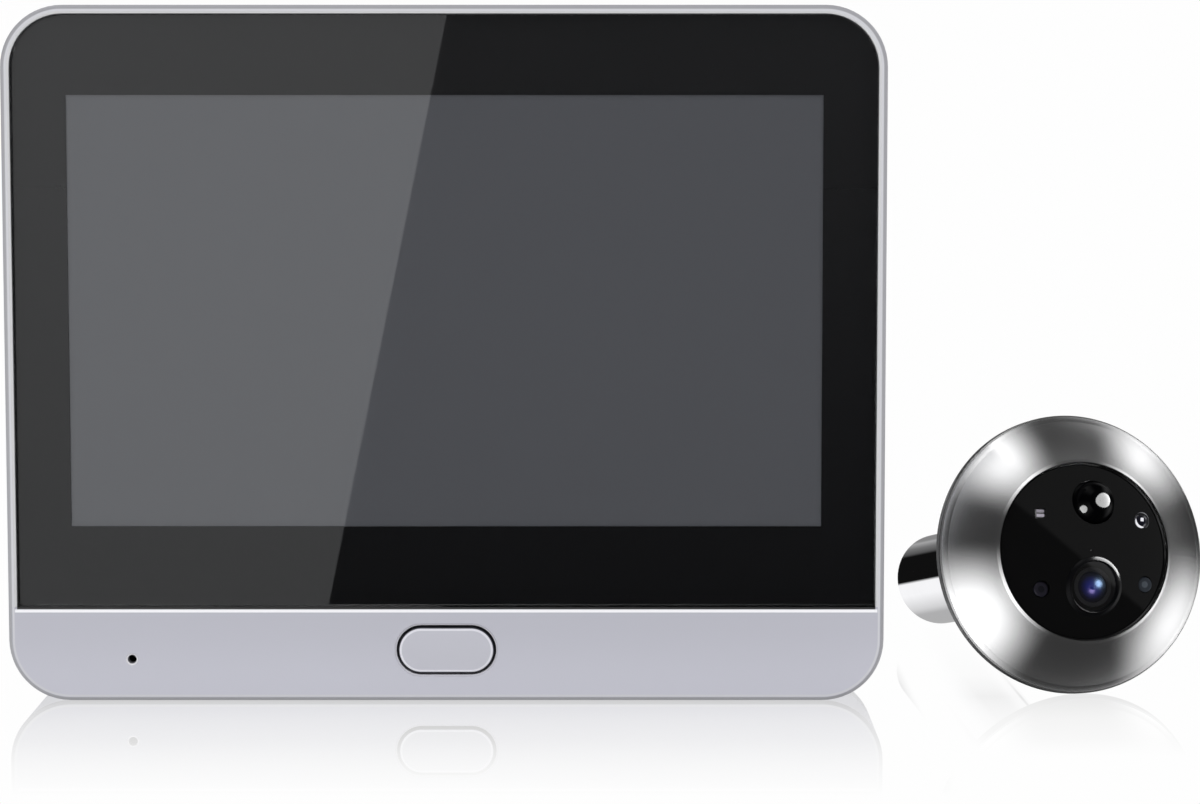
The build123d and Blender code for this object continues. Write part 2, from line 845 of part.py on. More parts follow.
def card_socket():
    """Memory card socket."""
    x = (port_x, port_x + card_len)
    z = centred(card_z, card_w)
    mouth = (x[0] - overrun, x[1] - card_len / 4)
    return block(x, card_y, z) - block(mouth, centred(mid(card_y), card_mouth_h), grow(z, -card_wall))


def switch_body():
    """Body of the power switch, open towards the side wall."""
    z = centred(switch_z + knob_travel / 2, switch_w)
    body = block(switch_x, switch_y, z)
    room_x = (switch_x[1] - knob_bury - play, switch_x[1] + overrun)
    return body - block(room_x, grow(knob_y, play), knob_room_z)


def switch_knob():
    """Sliding knob of the power switch, ridged for a fingernail."""
    x = (switch_x[1] - knob_bury, knob_x)
    knob = block(x, knob_y, centred(switch_z, knob_w))
    pitch = knob_w / (knob_ridges + 1)
    for k in range(knob_ridges):
        z = switch_z + (k - (knob_ridges - 1) / 2) * pitch
        groove_x = (knob_x - knob_ridge_depth, knob_x + overrun)
        knob -= block(groove_x, grow(knob_y, overrun), centred(z, pitch / 2))
    return knob


def speaker_frame():
    """Loudspeaker's basket."""
    frame = peg(speaker_x, speaker_z, speaker_r, speaker_y)
    room = (speaker_y[1] - speaker_t / 2, speaker_y[1] + overrun)
    frame -= peg(speaker_x, speaker_z, speaker_r - speaker_lip, room)
    return frame - peg(speaker_x, speaker_z, magnet_r + slip, (speaker_y[0] - overrun, speaker_y[1]))


def speaker_cone():
    """Loudspeaker's cone, resting on the basket's step."""
    y = speaker_y[1] - speaker_t / 2
    return peg(speaker_x, speaker_z, cone_r, (y, y + cone_t))


def speaker_magnet():
    """Loudspeaker's magnet, in the middle of the basket."""
    y = speaker_y[1] - speaker_t / 2
    return peg(speaker_x, speaker_z, magnet_r, (speaker_y[0] - magnet_t, y))


def battery():
    """Flat rechargeable pack."""
    pack = block(battery_x, battery_y, battery_z)
    return fillet(pack.edges().filter_by(Axis.Z), battery_round)


def battery_contacts():
    """Three contact blocks at the foot of the bay."""
    blocks = Part()
    for k in (-1, 0, 1):
        x = centred(k * contact_pitch, contact_w)
        blocks += block(x, centred(mid(battery_y), contact_h), (bay_z[0], bay_z[0] + contact_len))
    return blocks


def battery_cover():
    """Battery cover with a round upper edge that turns on two pins."""
    cover = block(cover_x, cover_y, cover_z)
    cover += Pos(0, hinge_y, hinge_z) * Rot(Y=90) * Cylinder(hinge_r, span(cover_x))
    pins = Rot(Y=90) * Cylinder(hinge_pin_r + slip, hinge_pin_len)
    for side in (-1, 1):
        cover -= Pos(side * cover_x[1], hinge_y, hinge_z) * pins
    return cover


def cover_pins():
    """The two hinge pins of the battery cover."""
    pins = Part()
    reach = hinge_pin_len / 2 - play
    for side in (-1, 1):
        x = sorted((side * (cover_x[1] - reach), side * (bay_x[1] + hinge_pin_bury)))
        pins += Pos(mid(x), hinge_y, hinge_z) * Rot(Y=90) * Cylinder(hinge_pin_r, span(x))
    return pins


def door_bracket():
    """Steel plate for the door, with four hooks that the rear cover drops onto."""
    plate = slab(outline(bracket_x, plate_span_z, bracket_r), bracket_y)
    plate -= peg(0, bracket_z, bracket_hole_r, grow(bracket_y, overrun))
    for side in (-1, 1):
        for level in (-1, 1):
            x = side * bracket_screw_dx / 2
            z = bracket_z + level * bracket_screw_dz / 2
            plate -= peg(x, z, bracket_screw_r, grow(bracket_y, overrun))
    for x, z in hook_places:
        stem = centred(z, hook_t)
        plate += block(centred(x, hook_w), (hook_tip_y[0], mid(bracket_y)), stem)
        plate += block(centred(x, hook_w), hook_tip_y, (stem[0], stem[1] + hook_tip_h))
    return plate


def camera_flange():
    """Thin disc that lies against the door, with posts for the camera's board."""
    flange = disc(flange_r, flange_z)
    flange = chamfer(flange.edges().sort_by(Axis.Z)[0], flange_edge)
    flange = fillet(flange.edges().sort_by(Axis.Z)[-1], flange_front_round)
    for radius, angle in head_post_places:
        flange += on_ring(radius, angle) * disc(head_post_r, (flange_t / 2, head_board_z[0]))
        flange -= on_ring(radius, angle) * disc(head_board_screw_r + slip, (flange_t / 2, head_board_z[1]))
    flange -= disc(barrel_r + slip, grow(flange_z, overrun))
    flange -= disc(barrel_collar_r + slip, (collar_z[0], flange_t + overrun))
    for radius, angle in head_screw_places:
        flange -= on_ring(radius, angle) * disc(head_screw_r + slip, grow(flange_z, overrun))
        flange -= on_ring(radius, angle) * screw_cone(slip)
    return flange


def screw_cone(outset):
    """Countersunk head of the bezel's screws, its flat face level with the flange's back."""
    depth = head_screw_head_r - head_screw_r
    sink = Cone(head_screw_head_r + outset, head_screw_r + outset, depth)
    return Pos(0, 0, depth / 2) * sink


def head_screws():
    """Screws that join the flange to the bezel from behind."""
    screws = Part()
    for radius, angle in head_screw_places:
        screw = screw_cone(0) + disc(head_screw_r, (0, head_screw_len))
        depth = head_screw_head_r / 4
        reach = centred(0, 2 * cross_share * head_screw_r)
        narrow = centred(0, cross_w)
        screw -= block(reach, narrow, (-overrun, depth))
        screw -= block(narrow, reach, (-overrun, depth))
        screws += on_ring(radius, angle) * screw
    return screws


def camera_bezel():
    """Turned steel bezel, a slightly crowned cone that carries the window."""
    top_z = window_edge_z + bezel_lip_h
    low = (bezel_r, flange_t + bezel_edge_h)
    high = (window_r + slip + bezel_lip_w, top_z)
    middle = ((low[0] + high[0]) / 2, (low[1] + high[1]) / 2)
    run = math.hypot(high[0] - low[0], high[1] - low[1])
    crown = (
        middle[0] + bezel_bulge * (high[1] - low[1]) / run,
        middle[1] - bezel_bulge * (high[0] - low[0]) / run,
    )
    seat_r = window_r - bezel_seat_w
    rest = Polyline(
        high,
        (window_r + slip, top_z),
        (window_r + slip, window_z[0]),
        (seat_r, window_z[0]),
        (seat_r, cavity_top_z),
        (bezel_cavity_r, cavity_top_z),
        (bezel_cavity_r, flange_t),
        (bezel_r, flange_t),
        low,
    )
    face = make_face([ThreePointArc(low, crown, high), rest])
    bezel = revolve(Plane.XZ * face, Axis.Z)
    for radius, angle in head_screw_places:
        bezel -= on_ring(radius, angle) * disc(head_screw_r + slip, (0, head_screw_len + slip))
    return bezel


def door_gasket():
    """Rubber ring between the flange and the door."""
    return disc(gasket_r, (-gasket_t, 0)) - disc(gasket_hole_r, (-gasket_t - overrun, overrun))


def camera_barrel():
    """Chromed tube that goes through the door, threaded inside at its far end."""
    end_z = -barrel_len
    outside = [
        (0, end_z),
        (barrel_r - barrel_chamfer, end_z),
        (barrel_r, end_z + barrel_chamfer),
        (barrel_r, -gasket_t),
        (barrel_neck_r, -gasket_t),
        (barrel_neck_r, collar_z[0]),
        (barrel_collar_r, collar_z[0]),
        (barrel_collar_r, collar_z[1]),
        (0, collar_z[1]),
    ]
    tube = spin(outside)
    tube -= disc(barrel_thread_r, (end_z - overrun, end_z + barrel_thread_len + overrun))
    return tube - disc(barrel_bore_r, (end_z + barrel_thread_len, flange_t + overrun))


def dome_ball(inset):
    """Sphere whose top is the window's outer face, drawn in by a distance."""
    return Pos(0, 0, dome_z) * Sphere(dome_r - inset)


def front_window():
    """Domed black window, with holes for the lens, the motion sensor and the lamps."""
    tall = (window_z[0], window_edge_z + window_dome + overrun)
    shell = disc(window_r, tall) & dome_ball(0)
    inside = disc(window_r - bezel_seat_w, (window_z[0] - overrun, tall[1])) & dome_ball(window_t)
    shell -= inside
    through = grow(tall, overrun)
    shell -= Pos(optics_x, pir_y, 0) * disc(pir_r + slip, through)
    lip_room = (window_z[0] - overrun, pir_lip_z[1])
    shell -= Pos(optics_x, pir_y, 0) * disc(pir_r + pir_lip + slip, lip_room)
    shell -= Pos(optics_x, lens_y, 0) * disc(lens_ring_r, through)
    for name, (x, y) in led_places.items():
        if name == "light_sensor":
            shell -= block(grow(centred(x, light_w), slip), grow(centred(y, light_h), slip), through)
        else:
            shell -= Pos(x, y, 0) * disc(led_r + slip, through)
    return shell


def pir_lens():
    """Glossy dome of the motion sensor, kept in the window by its lip."""
    centre_z = dome_height(optics_x, pir_y) - pir_sink
    dome = disc(pir_r, (pir_lip_z[0], centre_z)) + Pos(0, 0, centre_z) * Sphere(pir_r)
    hollow = disc(pir_r - pir_wall, (pir_lip_z[0] - overrun, centre_z))
    hollow += Pos(0, 0, centre_z) * Sphere(pir_r - pir_wall)
    return Pos(optics_x, pir_y, 0) * (dome + disc(pir_r + pir_lip, pir_lip_z) - hollow)


def pir_sensor():
    """Motion sensor's element on the camera's board."""
    wide = centred(0, pir_chip_w)
    return Pos(optics_x, pir_y, 0) * block(wide, wide, pir_chip_z)


def lens_ring():
    """Black funnel round the lens, level with the window's dome."""
    top = dome_height(0, 0)
    low = lens_face_z - lens_ring_sink - lens_ring_len
    tube = disc(lens_ring_r - slip, (low, top))
    mouth = Pos(0, 0, (low + top) / 2) * Cone(lens_ring_throat_r, lens_ring_mouth_r, top - low)
    tube -= mouth + disc(lens_ring_throat_r, (low - overrun, low + overrun))
    return (Pos(optics_x, lens_y, 0) * tube) & dome_ball(lens_ring_sink)


def lens_barrel():
    """Screwed barrel that holds the camera's glass."""
    barrel = disc(lens_barrel_r, lens_barrel_z)
    barrel -= disc(lens_stop_r, grow(lens_barrel_z, overrun))
    seat = (lens_barrel_z[1] - lens_glass_t, lens_barrel_z[1] + overrun)
    barrel -= disc(lens_stop_r + lens_rim_w, seat)
    return Pos(optics_x, lens_y, 0) * barrel


def lens_glass():
    """Front lens, its face domed."""
    r = lens_stop_r + lens_rim_w - slip
    ball_r = (r**2 + lens_dome**2) / (2 * lens_dome)
    top = lens_barrel_z[1] - slip
    drum = disc(r, (lens_barrel_z[1] - lens_glass_t, top + overrun))
    return Pos(optics_x, lens_y, 0) * (drum & Pos(0, 0, top - ball_r) * Sphere(ball_r))


def lens_holder():
    """Holder over the image sensor, with the tube that the lens screws into."""
    wide = centred(0, holder_w)
    holder = block(wide, wide, holder_z)
    holder += disc(holder_tube_r, (holder_z[0], holder_z[1] + holder_tube_len))
    room = grow(wide, -holder_wall)
    holder -= block(room, room, (holder_z[0] - overrun, filter_z[1]))
    holder -= disc(lens_barrel_r + slip, (filter_z[1] - overrun, holder_z[1] + holder_tube_len + overrun))
    return Pos(optics_x, lens_y, 0) * holder


def image_sensor():
    """Image sensor on the camera's board."""
    wide = centred(0, sensor_w)
    return Pos(optics_x, lens_y, 0) * block(wide, wide, sensor_z)


def infrared_filter():
    """Glass filter on the image sensor."""
    wide = centred(0, sensor_w)
    return Pos(optics_x, lens_y, 0) * block(wide, wide, filter_z)


def led(place):
    """Round lamp on the camera's board that reaches up into its hole in the window."""
    x, y = place
    top = dome_height(x, y) - led_sink
    lamp = disc(led_r, (head_board_z[1], top - led_r)) + Pos(0, 0, top - led_r) * Sphere(led_r)
    lamp += disc(led_foot_r, (head_board_z[1], head_board_z[1] + led_foot_t))
    return Pos(x, y, 0) * lamp


def infrared_leds():
    """Two lamps that light the doorway for the camera at night."""
    return led(led_places["infrared_low_left"]) + led(led_places["infrared_low_right"])


def white_led():
    """Lamp that shows a visitor that the camera is on."""
    return led(led_places["white_led"])


def light_sensor():
    """Small square sensor that tells day from night."""
    x, y = led_places["light_sensor"]
    z = (head_board_z[1], dome_height(x, y) - led_sink - light_h / 2)
    return block(centred(x, light_w), centred(y, light_h), z)


def camera_board():
    """Round circuit board of the camera head."""
    board = disc(head_board_r, head_board_z)
    for radius, angle in head_post_places:
        board -= on_ring(radius, angle) * disc(head_board_screw_r + slip, grow(head_board_z, overrun))
    return board


def camera_board_screws():
    """Screws that hold the camera's board to the flange's posts."""
    screws = Part()
    top = head_board_z[1]
    for radius, angle in head_post_places:
        screw = disc(head_board_screw_head_r, (top, top + head_board_screw_head_t))
        screw += disc(head_board_screw_r, (top - head_board_screw_len + head_board_t, top))
        screws += on_ring(radius, angle) * screw
    return screws


def head_socket():
    """Socket on the back of the camera's board, where the flat lead plugs in inside the barrel."""
    z = (head_board_z[0] - head_socket_t, head_board_z[0])
    return block(centred(0, head_socket_w), centred(0, head_socket_h), z)


monitor_parts = {
    "front_frame": front_frame,
    "glass_panel": glass_panel,
    "display_mask": display_mask,
    "lcd_cell": lcd_cell,
    "lcd_backlight_tray": lcd_tray,
    "lcd_lead": lcd_lead,
    "lcd_lead_socket": lcd_socket,
    "support_plate": support_plate,
    "main_board": main_board,
    "board_screws": board_screws,
    "processor_chip": processor,
    "memory_chip": memory_chip,
    "shield_can": shield_can,
    "board_components": board_components,
    "camera_ribbon_socket": ribbon_socket,
    "usb_socket": usb_socket,
    "card_socket": card_socket,
    "power_switch_body": switch_body,
    "power_switch_knob": switch_knob,
    "home_button_cap": button_cap,
    "tact_switch_body": tact_switch,
    "tact_plunger": tact_plunger,
    "tact_snap_disc": tact_dome,
    "microphone": microphone,
    "microphone_boot": microphone_boot,
    "speaker_frame": speaker_frame,
    "speaker_cone": speaker_cone,
    "speaker_magnet": speaker_magnet,
    "battery": battery,
    "battery_contacts": battery_contacts,
    "battery_cover": battery_cover,
    "battery_cover_pins": cover_pins,
    "rear_cover": rear_cover,
    "case_screws": case_screws,
    "door_bracket": door_bracket,
}

camera_parts = {
    "camera_flange": camera_flange,
    "camera_bezel": camera_bezel,
    "camera_barrel": camera_barrel,
    "door_gasket": door_gasket,
    "bezel_screws": head_screws,
    "front_window": front_window,
    "pir_lens": pir_lens,
    "pir_sensor": pir_sensor,
    "lens_ring": lens_ring,
    "lens_barrel": lens_barrel,
    "lens_glass": lens_glass,
    "lens_holder": lens_holder,
    "image_sensor": image_sensor,
    "infrared_filter": infrared_filter,
    "infrared_leds": infrared_leds,
    "white_led": white_led,
    "light_sensor": light_sensor,
    "camera_board": camera_board,
    "camera_board_screws": camera_board_screws,
    "camera_board_socket": head_socket,
}

os.makedirs("parts", exist_ok=True)
for name, make in monitor_parts.items():
    export_step(make(), f"parts/{name}.step")
for name, make in camera_parts.items():
    export_step(head_place * make(), f"parts/{name}.step")
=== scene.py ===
import json
import math

import bpy
from mathutils import Matrix, Vector


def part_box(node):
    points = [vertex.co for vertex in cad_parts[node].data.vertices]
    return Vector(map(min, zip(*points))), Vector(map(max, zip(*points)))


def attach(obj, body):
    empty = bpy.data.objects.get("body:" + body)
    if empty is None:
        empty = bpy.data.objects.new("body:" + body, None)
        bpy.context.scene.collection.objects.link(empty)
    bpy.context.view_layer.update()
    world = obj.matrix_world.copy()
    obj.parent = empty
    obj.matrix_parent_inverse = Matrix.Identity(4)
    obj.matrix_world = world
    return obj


# Looks for the peephole door camera: its materials, small details, studio and camera.
# Metres, in the part's own frame. The screen faces -Y.

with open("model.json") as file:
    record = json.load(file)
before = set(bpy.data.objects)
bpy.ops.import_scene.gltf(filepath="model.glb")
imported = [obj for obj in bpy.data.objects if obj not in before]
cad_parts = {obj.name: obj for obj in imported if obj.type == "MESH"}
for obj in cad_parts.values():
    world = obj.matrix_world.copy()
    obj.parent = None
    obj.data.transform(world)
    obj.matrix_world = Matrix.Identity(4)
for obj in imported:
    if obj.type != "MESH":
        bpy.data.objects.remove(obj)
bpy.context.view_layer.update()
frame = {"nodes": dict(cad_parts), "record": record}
NODES = frame["nodes"]
RECORD = frame["record"]
MM = 0.001
WHITE = (1.0, 1.0, 1.0)

# Where the photograph was taken from
CAMERA_PLACE = (0.0195, -0.4085, 0.0833)
CAMERA_PITCH = math.radians(85.0)
CAMERA_LENS = 95.8
CAMERA_SENSOR = 36.0
CAMERA_SHIFT_Y = -0.0667
CAMERA_CLIP = (0.01, 20.0)

# The camera head's own frame, from its mounts
HEAD_BODY = "camera_head"
HEAD_ROLL = math.radians(-4.3)
GASKET_T = 1.0 * MM


def mount(name):
    """The record's mount of that name, as its place and its axis."""
    found = next(m for m in RECORD["mounts"] if m["name"] == name)
    return Vector(found["pos_m"]), Vector(found["axis"]).normalized()


def head_frame():
    """Matrix from the camera head's frame, +Z out of its window, to the part's frame."""
    on_axis, back = mount("camera_barrel_outside")
    on_gasket, _ = mount("camera_gasket_face")
    out = -back
    origin = on_axis + out * ((on_gasket - on_axis).dot(out) + GASKET_T)
    level = Vector((0, 0, 1)).cross(out).normalized()
    right = Matrix.Rotation(HEAD_ROLL, 3, out) @ level
    up = out.cross(right)
    turned = Matrix((right, up, out)).transposed().to_4x4()
    return Matrix.Translation(origin) @ turned


HEAD = head_frame()
HEAD_TURN = HEAD.to_3x3()
HEAD_RIGHT, HEAD_UP, HEAD_OUT = (tuple(HEAD_TURN.col[k]) for k in range(3))

# Places on the monitor's front: the casing, the glass, the button's hole and the sound hole
CASE_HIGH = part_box("front_frame")[1]
CASE_R = 7.8 * MM
PANE_LOW, PANE_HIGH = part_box("glass_panel")
PANE_R = 6.7 * MM
BUTTON_Z = sum(corner[2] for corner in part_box("home_button_cap")) / 2
BUTTON_HOLE = (6.33 * MM, 3.18 * MM)
MIC_LOW, MIC_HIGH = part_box("microphone")
MIC_R = 0.55 * MM


class Tree:
    """A node tree with short calls for adding and joining nodes."""

    def __init__(self, tree, output):
        self.tree = tree
        tree.nodes.clear()
        self.output = tree.nodes.new(output)

    def node(self, kind, inputs=None, **settings):
        """Node with its settings, and its inputs by name or number."""
        made = self.tree.nodes.new(kind)
        for name, value in settings.items():
            setattr(made, name, value)
        for name, value in (inputs or {}).items():
            self.put(made.inputs[name], value)
        return made

    def put(self, socket, value):
        """Joins another node's output to a socket, or sets the socket's own value."""
        if isinstance(value, bpy.types.NodeSocket):
            self.tree.links.new(value, socket)
        else:
            socket.default_value = value

    def joined(self, kind, values, **settings):
        """Node whose inputs, in their own order, take the values."""
        return self.node(kind, dict(enumerate(values)), **settings)

    def math(self, operation, *values):
        return self.joined("ShaderNodeMath", values, operation=operation).outputs[0]

    def plus(self, a, b):
        return self.math("ADD", a, b)

    def minus(self, a, b):
        return self.math("SUBTRACT", a, b)

    def times(self, a, b):
        return self.math("MULTIPLY", a, b)

    def rest(self, share):
        """What a share leaves of 1."""
        return self.minus(1.0, share)

    def vector(self, operation, *values):
        return self.joined("ShaderNodeVectorMath", values, operation=operation).outputs["Vector"]

    def dot(self, a, b):
        return self.joined("ShaderNodeVectorMath", (a, b), operation="DOT_PRODUCT").outputs["Value"]

    def length(self, a):
        return self.joined("ShaderNodeVectorMath", (a,), operation="LENGTH").outputs["Value"]

    def parts(self, vector):
        """The three coordinates of a vector."""
        return self.node("ShaderNodeSeparateXYZ", {"Vector": vector}).outputs

    def step(self, value, low, high):
        """0 below low and 1 above high, with a soft change between."""
        given = {"Value": value, "From Min": low, "From Max": high}
        return self.node("ShaderNodeMapRange", given, interpolation_type="SMOOTHSTEP").outputs[0]

    def band(self, value, start, end, soft):
        """1 between start and end, 0 outside, with soft changes."""
        begun = self.step(value, start - soft, start + soft)
        return self.times(begun, self.rest(self.step(value, end - soft, end + soft)))

    def outside(self, x, z, half_x, half_z, r):
        """Distance outside a rounded rectangle round the origin, negative inside it."""
        over = [self.math("MAXIMUM", self.minus(self.math("ABSOLUTE", v), half - r), 0.0)
                for v, half in ((x, half_x), (z, half_z))]
        return self.minus(self.math("SQRT", self.plus(*[self.times(v, v) for v in over])), r)

    def mix(self, factor, a, b):
        """Colour between a and b."""
        return self.node("ShaderNodeMix", {0: factor, 6: a, 7: b}, data_type="RGBA").outputs[2]

    def blend(self, factor, a, b):
        """Number between a and b."""
        return self.node("ShaderNodeMix", {0: factor, 2: a, 3: b}, data_type="FLOAT").outputs[0]

    def shaders(self, factor, a, b):
        """Shader between a and b."""
        return self.joined("ShaderNodeMixShader", (factor, a.outputs[0], b.outputs[0])).outputs[0]

    def curve(self, value, stops, period):
        """Tone at a share of a period, from pairs of place and tone."""
        made = self.node("ShaderNodeValToRGB")
        ramp = made.color_ramp
        ramp.interpolation = "LINEAR"
        while len(ramp.elements) > 1:
            ramp.elements.remove(ramp.elements[-1])
        ramp.elements[0].position = stops[0][0] / period
        tones = [ramp.elements[0]] + [ramp.elements.new(place / period) for place, _ in stops[1:]]
        for element, (_, tone) in zip(tones, stops):
            element.color = (tone, tone, tone, 1)
        self.put(made.inputs[0], value)
        return made.outputs[0]


def rgba(colour):
    return (*colour, 1.0)


def spread(base, low, high):
    """Two colours, one darker and one lighter than the base."""
    return rgba([c * low for c in base]), rgba([c * high for c in base])


class Material(Tree):
    """A procedural material seen in the object's own coordinates."""

    def __init__(self, name):
        self.made = bpy.data.materials.new(name)
        self.made.use_nodes = True
        super().__init__(self.made.node_tree, "ShaderNodeOutputMaterial")
        coordinates = self.node("ShaderNodeTexCoord")
        self.place = coordinates.outputs["Object"]
        self.normal = coordinates.outputs["Normal"]

    def noise(self, scale, detail):
        given = {"Vector": self.place, "Scale": scale, "Detail": detail}
        return self.node("ShaderNodeTexNoise", given).outputs["Fac"]

    def bump(self, height, distance):
        given = {"Height": height, "Distance": distance, "Strength": 1.0}
        return self.node("ShaderNodeBump", given).outputs["Normal"]

    def facing(self, axis):
        """How squarely the surface faces along an axis, either way: 1 is squarely."""
        return self.math("ABSOLUTE", self.dot(self.normal, axis))

    def uneven(self, grain, roughness, reach=0.08):
        """Roughness that varies about its mean with a grain from 0 to 1."""
        return self.plus(self.times(grain, reach), roughness - reach / 2)

    def principled(self, colour, roughness, **inputs):
        values = {"Base Color": colour, "Roughness": roughness}
        values.update({name.replace("_", " "): value for name, value in inputs.items()})
        return self.show(self.node("ShaderNodeBsdfPrincipled", values).outputs[0])

    def see_through(self, tint, ior, where, roughness):
        """Clear shader with a gloss over a share of the surface."""
        fresnel = self.node("ShaderNodeFresnel", {"IOR": ior}).outputs[0]
        through = self.node("ShaderNodeBsdfTransparent", {"Color": rgba(tint)})
        gloss = self.node("ShaderNodeBsdfGlossy", {"Color": rgba(WHITE), "Roughness": roughness})
        return self.show(self.shaders(self.times(fresnel, where), through, gloss))

    def show(self, shader):
        self.put(self.output.inputs["Surface"], shader)
        return self.made


def satin(name, colour, roughness, grain, depth):
    """Moulded surface with a fine grain."""
    m = Material(name)
    fine = m.noise(grain, 3.0)
    tone = m.mix(m.noise(60.0, 1.0), *spread(colour, 0.985, 1.015))
    return m.principled(tone, m.uneven(fine, roughness), Normal=m.bump(fine, depth))


def frame_with_painted_light(name, colour, rim_colour):
    """Satin frame with painted light: pale highlight lines round the glass, the button and the sound hole,
    painted shade in the gap under the glass and in the sound hole, a darker shaded outer edge, and a chin
    darker towards its top.
    """
    m = Material(name)
    x, _, z = m.parts(m.place)
    fine = m.noise(5200.0, 3.0)
    soft = 0.05 * MM
    chin_shade_heights = (1.0 * MM, 11.0 * MM)

    # Distances outside the glass, whose sides run on down, and outside the casing and the two holes
    shoulder = PANE_HIGH[2] - PANE_HIGH[0]
    above = m.math("MAXIMUM", m.minus(z, shoulder), 0.0)
    glass = m.outside(x, above, PANE_HIGH[0], PANE_HIGH[0], PANE_R)
    case = m.outside(x, m.minus(z, CASE_HIGH[2] / 2), CASE_HIGH[0], CASE_HIGH[2] / 2, CASE_R)
    button = m.outside(x, m.minus(z, BUTTON_Z), *BUTTON_HOLE, BUTTON_HOLE[1])
    from_hole = [m.minus(v, (MIC_LOW[k] + MIC_HIGH[k]) / 2) for v, k in ((x, 0), (z, 2))]
    hole = m.outside(*from_hole, MIC_R, MIC_R, MIC_R)
    under_glass = m.minus(PANE_LOW[2], z)
    on_chin = m.step(under_glass, -soft, soft)
    in_front = m.step(m.facing((0, 1, 0)), 0.1, 0.2)

    # Painted shade: the chin is lighter at its bottom and darker towards its top
    dark, light = spread(colour, 0.93, 1.07)
    tone = m.mix(m.step(z, *chin_shade_heights), light, dark)
    tone = m.mix(on_chin, rgba(rim_colour), tone)

    # Painted highlights and shade: a pale highlight line beside the glass, a pale highlight line and a dark
    # shaded gap under it, then pale highlight lines at the button's and sound hole's edges, painted shade in
    # the hole itself, and the outer edge's pale highlight line and darker shaded rounding
    everywhere = -1.0
    marks = [
        (m.times(m.band(glass, 0.0, 0.3 * MM, soft), m.rest(on_chin)), (0.72, 0.725, 0.74)),
        (m.times(m.band(under_glass, 0.28 * MM, 0.66 * MM, soft), m.band(glass, everywhere, 0.25 * MM, soft)),
         (0.93, 0.93, 0.96)),
        (m.times(m.band(under_glass, -0.3 * MM, 0.26 * MM, soft), m.band(glass, everywhere, 0.0, soft)),
         (0.012, 0.012, 0.013)),
        (m.band(button, 0.0, 0.14 * MM, soft), (0.72, 0.72, 0.78)),
        (m.band(hole, 0.0, 0.2 * MM, soft), (0.8, 0.8, 0.83)),
        (m.band(hole, -MM, 0.0, soft), (0.004, 0.004, 0.008)),
        (m.times(m.band(case, -0.78 * MM, -0.54 * MM, soft), in_front), (0.62, 0.622, 0.66)),
        (m.times(m.band(case, -0.48 * MM, MM, soft), in_front), (0.35, 0.35, 0.375)),
    ]
    for where, mark in marks:
        tone = m.mix(where, tone, rgba(mark))
    return m.principled(tone, m.uneven(fine, 0.42), Normal=m.bump(fine, 5e-6))


def button_with_painted_light(name, colour):
    """Satin cap with a painted highlight line inside its dark edge of painted shade."""
    m = Material(name)
    x, _, z = m.parts(m.place)
    hole = m.outside(x, m.minus(z, BUTTON_Z), *BUTTON_HOLE, BUTTON_HOLE[1])
    fine = m.noise(5200.0, 3.0)
    # Painted highlight line inside the edge, then painted shade on the cap's edge
    tone = m.mix(m.band(hole, -0.68 * MM, -0.44 * MM, 0.05 * MM), rgba(colour), (0.76, 0.76, 0.82, 1))
    tone = m.mix(m.band(hole, -0.4 * MM, MM, 0.04 * MM), tone, (0.03, 0.03, 0.04, 1))
    return m.principled(tone, m.uneven(fine, 0.38), Normal=m.bump(fine, 4e-6))


def turned_metal(name, colour, roughness, depth, edge=None):
    """Metal turned about the camera head's axis, with fine rings and a stretched highlight.

    A second colour, where given, is painted shade on its outer edge, the walls that face sideways.
    """
    m = Material(name)
    groove_pitch = 0.05 * MM
    offset = m.vector("SUBTRACT", m.place, tuple(HEAD.translation))
    round_axis = m.vector("CROSS_PRODUCT", HEAD_OUT, offset)
    outwards = m.vector("CROSS_PRODUCT", round_axis, HEAD_OUT)

    # The rings follow the surface, whichever way it slopes
    along = m.times(m.dot(offset, HEAD_OUT), 0.7)
    groove = m.times(m.plus(m.length(round_axis), along), 1 / groove_pitch)
    rings = m.node("ShaderNodeTexNoise", {"W": groove, "Scale": 1.0, "Detail": 2.0}, noise_dimensions="1D")
    ring = rings.outputs["Fac"]
    tangent = m.node("ShaderNodeVectorTransform", {"Vector": outwards},
                     vector_type="VECTOR", convert_from="OBJECT", convert_to="WORLD")
    tone = m.mix(ring, *spread(colour, 0.96, 1.04))
    # Painted shade on the outer edge, where the walls face sideways
    if edge:
        tone = m.mix(m.step(m.facing(HEAD_OUT), 0.3, 0.6), rgba(edge), tone)
    return m.principled(tone, roughness, Metallic=1.0, Anisotropic=1.0, Normal=m.bump(ring, depth),
                        Tangent=m.vector("NORMALIZE", tangent.outputs[0]))


def polished(name, colour, roughness):
    """Polished or plated metal with faint wipe marks."""
    m = Material(name)
    marks = m.noise(400.0, 3.0)
    tone = m.mix(marks, *spread(colour, 0.98, 1.02))
    return m.principled(tone, m.uneven(marks, roughness, roughness * 0.5), Metallic=1.0)


def moulded(name, colour, roughness, depth=4e-6, **inputs):
    """Plastic, rubber or lacquer with a fine uneven face."""
    m = Material(name)
    fine = m.noise(4000.0, 2.0)
    tone = m.mix(fine, *spread(colour, 0.95, 1.05))
    return m.principled(tone, m.uneven(fine, roughness), Normal=m.bump(fine, depth), **inputs)


def clear_pane(name, tint, ior):
    """Clear pane bonded to what lies under it. Only its ground edge has a gloss of its own."""
    m = Material(name)
    edge = m.rest(m.step(m.facing((0, -1, 0)), 0.97, 0.99))
    return m.see_through(tint, ior, edge, 0.05)


def clear_dome(name, tint, ior):
    """Clear curved glass, coated on both faces, with a gloss on its outside."""
    m = Material(name)
    outside = m.rest(m.node("ShaderNodeNewGeometry").outputs["Backfacing"])
    return m.see_through(tint, ior, outside, 0.04)


